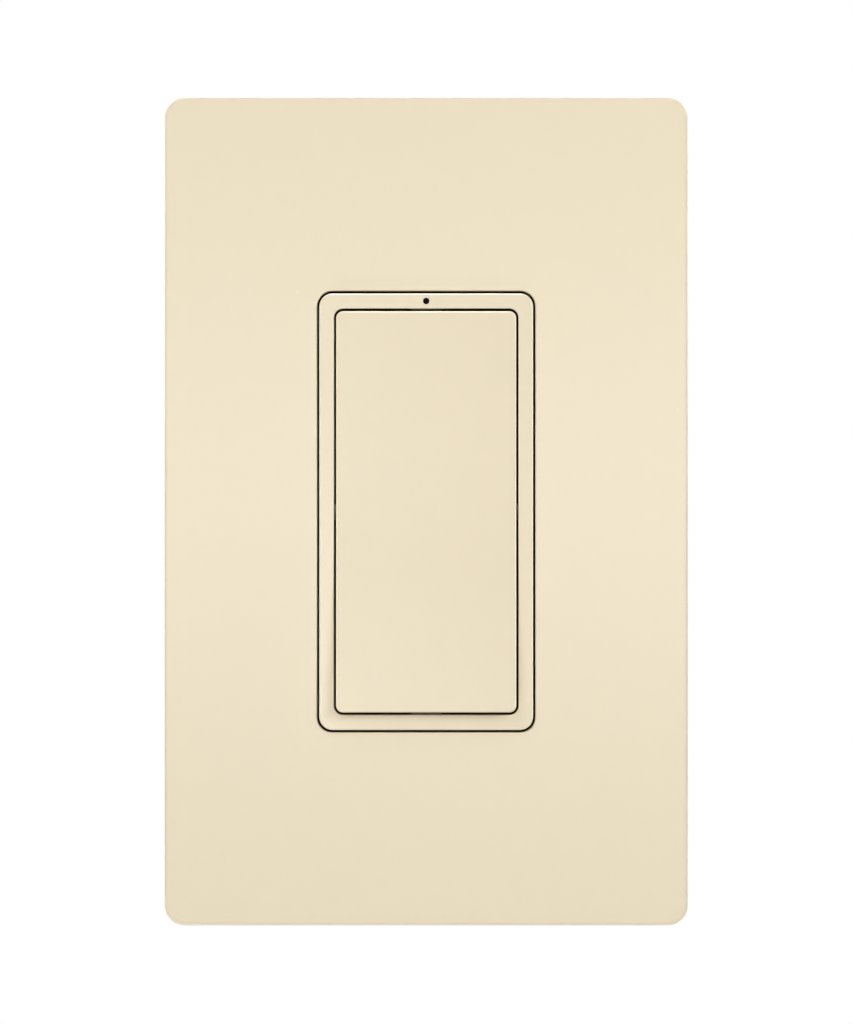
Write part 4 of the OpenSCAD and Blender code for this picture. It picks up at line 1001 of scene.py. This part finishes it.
def make_ground_screw():
    """A six-sided head on a washer, with a slot."""
    front = -GROUND_HEAD_T
    washer = -GROUND_WASHER_T
    screw = turned("ground_head", [(GROUND_HEX_R, front), (GROUND_HEX_R, washer / 2)], segments=6)
    chamfer = [(0, front - FIT), (GROUND_TOP_R, front - FIT), (GROUND_RIM_R, front + GROUND_CHAMFER),
               (GROUND_RIM_R, 0), (0, 0)]
    combine(screw, "INTERSECT", [turned("chamfer", chamfer)])
    disc = [(GROUND_HEAD_R - FIT, washer), (GROUND_HEAD_R, washer + FIT), (GROUND_HEAD_R, 0)]
    combine(screw, "UNION", [turned("washer", disc)])
    combine(screw, "DIFFERENCE", slot_cut(GROUND_HEAD_R, front))
    length = GROUND_HIGH.z - GROUND_LOW.z - GROUND_HEAD_T
    shank = thread(GROUND_R, THREAD_DEPTH, washer / 2, length, SHORT_TAPER)
    combine(screw, "UNION", [turned("shank", shank, segments=THIN_SEGMENTS)])
    middle = (GROUND_LOW + GROUND_HIGH) / 2
    spot = (middle.x, middle.y, GROUND_LOW.z + GROUND_HEAD_T)
    set_screws("ground_screw_hex", "ground_screw", screw, Matrix.Rotation(math.pi / 2, 4, "X"), [spot])


def make_body_screws():
    head = dome(BODY_HEAD_R, BODY_HEAD_T, BODY_RIM)
    seat = BODY_SCREW_HIGH.y - BODY_HEAD_T
    shank = thread(BODY_SCREW_R, THREAD_DEPTH / 2, -BODY_RIM, seat - BODY_SCREW_LOW.y, LONG_TAPER)
    screw = make_screw(head, cross_cut(BODY_HEAD_R, -BODY_HEAD_T), shank)
    x, z = BODY_SCREW_HIGH.x - BODY_HEAD_R, BODY_SCREW_HIGH.z - BODY_HEAD_R
    spots = [(sx * x, seat, sz * z) for sx in (-1, 1) for sz in (-1, 1)]
    set_screws("body_screw_set", "body_screws", screw, Matrix.Rotation(math.pi, 4, "Z"), spots)


def make_terminal_screws(name, node, sides):
    """Broad screws with a slot, at the sides of the housing."""
    middle = (TERMINAL_LOW + TERMINAL_HIGH) / 2
    seat = TERMINAL_HIGH.x - TERMINAL_HEAD_T
    head = dome(TERMINAL_HEAD_R, TERMINAL_HEAD_T, TERMINAL_RIM)
    shank = thread(TERMINAL_R, THREAD_DEPTH, -TERMINAL_ROOT, seat - TERMINAL_LOW.x, SHORT_TAPER)
    pieces = []
    for sx, sz in sides:
        screw = make_screw(head, slot_cut(TERMINAL_HEAD_R, -TERMINAL_HEAD_T), shank)
        screw.data.transform(Matrix.Rotation(sx * math.pi / 2, 4, "Z"))
        screw.data.transform(Matrix.Translation((sx * seat, middle.y, sz * middle.z)))
        pieces.append(screw)
    pieces[0].name = name
    stand_for(smooth(joined(pieces), angle=40), node)


# Terminals: clamp plates with teeth across the wire

def make_clamps():
    low = CLAMP_LOW.y
    inner, outer = CLAMP_HIGH.x - CLAMP_T, CLAMP_HIGH.x
    half = CLAMP_W / 2
    steps = 2 * CLAMP_TEETH
    profile = []
    for step in range(steps + 1):
        depth = 0 if step % 2 else TOOTH_DEPTH
        profile.append((inner + depth, low + CLAMP_W * step / steps))
    profile += [(outer, low + CLAMP_W), (outer, low)]
    hole_r = TERMINAL_R + FIT
    plates = []
    for sx, sz in ((-1, 1), (-1, -1), (1, 1)):
        z = sz * (CLAMP_HIGH.z - half)
        plate = prism("clamp", [(sx * x, y) for x, y in profile], "z", z - half, z + half)
        hole = [(hole_r, sx * (inner - OVERSHOOT)), (hole_r, sx * (outer + OVERSHOOT))]
        combine(plate, "DIFFERENCE", [turned("hole", hole, (0, low + half, z), "x")])
        plates.append(plate)
    plates[0].name = "clamp_plates"
    stand_for(smooth(joined(plates), angle=20), "terminal_clamps")


plate = make_plate()
bezel = make_bezel()
paddle = make_paddle()
make_light_pipe()
make_spring("upper_spring", PLUNGER_Z)
make_spring("lower_spring", -PLUNGER_Z)
make_winding()
make_box_screws()
make_plate_screws()
make_ground_screw()
make_body_screws()
make_terminal_screws("live_screws", "live_terminal_screws", ((-1, 1), (-1, -1)))
make_terminal_screws("neutral_screw", "neutral_terminal_screw", ((1, 1),))
make_clamps()
for node, width in EDGES.items():
    refined(node, width)
for node, piece in frame["nodes"].items():
    if not piece.hide_render:
        paint(piece, SLOT_OF[node])


# Stage, lamps and camera; distances and sizes in metres

FLOOR_HALF = 3
FLOOR_TOP = -0.8
FLOOR_T = 0.01

# Distances from the object between which the floor's paper turns white, and its least share of white
FADE_START = 0.9
FADE_END = 1.5
FADE_LEAST = 0.7

CAMERA_DISTANCE = 1.6
CAMERA_REACH = 20
SENSOR_W_MM = 36
AMBIENT = 0.1

# Each lamp's name, azimuth and elevation in degrees, distance, width, height and power in watts
LAMPS = (
    ("key_right", 50, 25, 1.0, 0.4, 0.35, 5.9),
    ("fill_left", -50, 25, 1.0, 0.4, 0.35, 1.8),
    ("top_left", -35, 60, 1.0, 0.4, 0.4, 3.1),
    ("low_left", -35, -45, 0.8, 0.4, 0.3, 1.35),
    ("edge_left", -80, 5, 1.0, 0.5, 0.25, 1.5),
    ("edge_bottom", 0, -80, 0.7, 0.6, 0.3, 1.4),
    ("rear_left", -140, 18, 1.0, 0.6, 0.6, 3.2),
    ("rear_right", 140, 18, 1.0, 0.6, 0.6, 3.2),
)

# Lamps that only make highlights: one on the plate, the others on the bezel and the paddle
PLATE_SHEEN = ("sheen_front", 0, 0.5, 1.2, 0.9, 0.1, 2.1)
FRONT_SHEENS = (
    ("sheen_front_left", -8, -4, 0.4, 0.06, 0.06, 0.26),
    ("sheen_right", 80, 0, 1.0, 0.3, 0.4, 10.0),
    ("sheen_left", -80, 0, 1.0, 0.3, 0.4, 10.0),
    ("sheen_top", 0, 75, 1.0, 0.4, 0.6, 28.0),
)


def background_rays(tree):
    """1 for the rays that see the background: from the camera, a reflection or through glass."""
    path = tree.nodes.new("ShaderNodeLightPath")
    seen = path.outputs["Is Camera Ray"]
    for kind in ("Is Glossy Ray", "Is Transmission Ray"):
        either = tree.nodes.new("ShaderNodeMath")
        either.operation = "MAXIMUM"
        tree.links.new(seen, either.inputs[0])
        tree.links.new(path.outputs[kind], either.inputs[1])
        seen = either.outputs["Value"]
    return seen


def make_floor():
    """Pale paper well below the object, which turns into the white background further out."""
    low = (-FLOOR_HALF, -FLOOR_HALF, FLOOR_TOP - FLOOR_T)
    high = (FLOOR_HALF, FLOOR_HALF, FLOOR_TOP)
    floor = box("floor", low, high)
    shader = Shader("floor_paper", (0.9, 0.9, 0.9), roughness=0.9)
    shader.mottle(size=20 * MM, amount=0.01)
    shader.grain(size=0.5 * MM, depth=0.02 * MM)
    tree = shader.tree
    away = shader.node("ShaderNodeVectorMath", Vector=shader.spot)
    away.operation = "LENGTH"
    fade = shader.node("ShaderNodeMapRange", Value=away.outputs["Value"],
                       From_Min=FADE_START, From_Max=FADE_END, To_Min=FADE_LEAST)
    white = tree.nodes.new("ShaderNodeMath")
    white.operation = "MULTIPLY"
    tree.links.new(fade.outputs["Result"], white.inputs[0])
    tree.links.new(background_rays(tree), white.inputs[1])
    glow = shader.node("ShaderNodeEmission", Color=(1, 1, 1, 1), Strength=1.0)
    mix = tree.nodes.new("ShaderNodeMixShader")
    tree.links.new(white.outputs["Value"], mix.inputs["Fac"])
    tree.links.new(shader.bsdf.outputs["BSDF"], mix.inputs[1])
    tree.links.new(glow.outputs["Emission"], mix.inputs[2])
    tree.links.new(mix.outputs["Shader"], tree.nodes["Material Output"].inputs["Surface"])
    floor.data.materials.append(shader.material)


def make_world():
    """White for the camera and for reflections, softer as light on the object."""
    world = bpy.data.worlds.new("studio")
    bpy.context.scene.world = world
    world.use_nodes = True
    tree = world.node_tree
    tree.nodes.clear()
    strength = tree.nodes.new("ShaderNodeMapRange")
    strength.inputs["To Min"].default_value = AMBIENT
    tree.links.new(background_rays(tree), strength.inputs["Value"])
    shade = tree.nodes.new("ShaderNodeBackground")
    shade.inputs["Color"].default_value = (1, 1, 1, 1)
    tree.links.new(strength.outputs["Result"], shade.inputs["Strength"])
    output = tree.nodes.new("ShaderNodeOutputWorld")
    tree.links.new(shade.outputs["Background"], output.inputs["Surface"])


def make_lamp(name, azimuth, elevation, distance, width, height, power):
    """A soft rectangular lamp that faces the object; azimuth 0 is the camera's side, 90 the right."""
    data = bpy.data.lights.new(name, "AREA")
    data.shape = "RECTANGLE"
    data.size = width
    data.size_y = height
    data.energy = power
    lamp = bpy.data.objects.new(name, data)
    bpy.context.scene.collection.objects.link(lamp)
    a, e = math.radians(azimuth), math.radians(elevation)
    away = Vector((math.sin(a) * math.cos(e), -math.cos(a) * math.cos(e), math.sin(e)))
    lamp.matrix_world = Matrix.LocRotScale(away * distance, away.to_track_quat("Z", "Y"), None)
    lamp.visible_camera = False
    return lamp


def make_sheen(row, pieces):
    """A lamp that shows only as a highlight, and only on the given pieces."""
    lamp = make_lamp(*row)
    lamp.visible_diffuse = False
    group = bpy.data.collections.new(lamp.name)
    for piece in pieces:
        group.objects.link(piece)
    lamp.light_linking.receiver_collection = group


def make_camera():
    """A long lens straight in front, framed so that the plate lies as in the photograph."""
    pixel = PLATE_W / PHOTO_PLATE_PX
    data = bpy.data.cameras.new("camera")
    data.sensor_fit = "AUTO"
    data.sensor_width = SENSOR_W_MM
    data.lens = SENSOR_W_MM * CAMERA_DISTANCE / (PHOTO_H * pixel)
    data.clip_end = CAMERA_REACH
    camera = bpy.data.objects.new("camera", data)
    bpy.context.scene.collection.objects.link(camera)
    aside = (PHOTO_W / 2 - PHOTO_MIDDLE[0]) * pixel
    below = (PHOTO_H / 2 - PHOTO_MIDDLE[1]) * pixel
    camera.location = (aside, -PLATE_DEPTH - CAMERA_DISTANCE, -below)
    camera.rotation_euler = (math.pi / 2, 0, 0)
    bpy.context.scene.camera = camera


make_floor()
make_world()
for row in LAMPS:
    make_lamp(*row)
make_sheen(PLATE_SHEEN, [plate])
for row in FRONT_SHEENS:
    make_sheen(row, [bezel, paddle])
make_camera()
bpy.context.scene.view_settings.view_transform = "Standard"
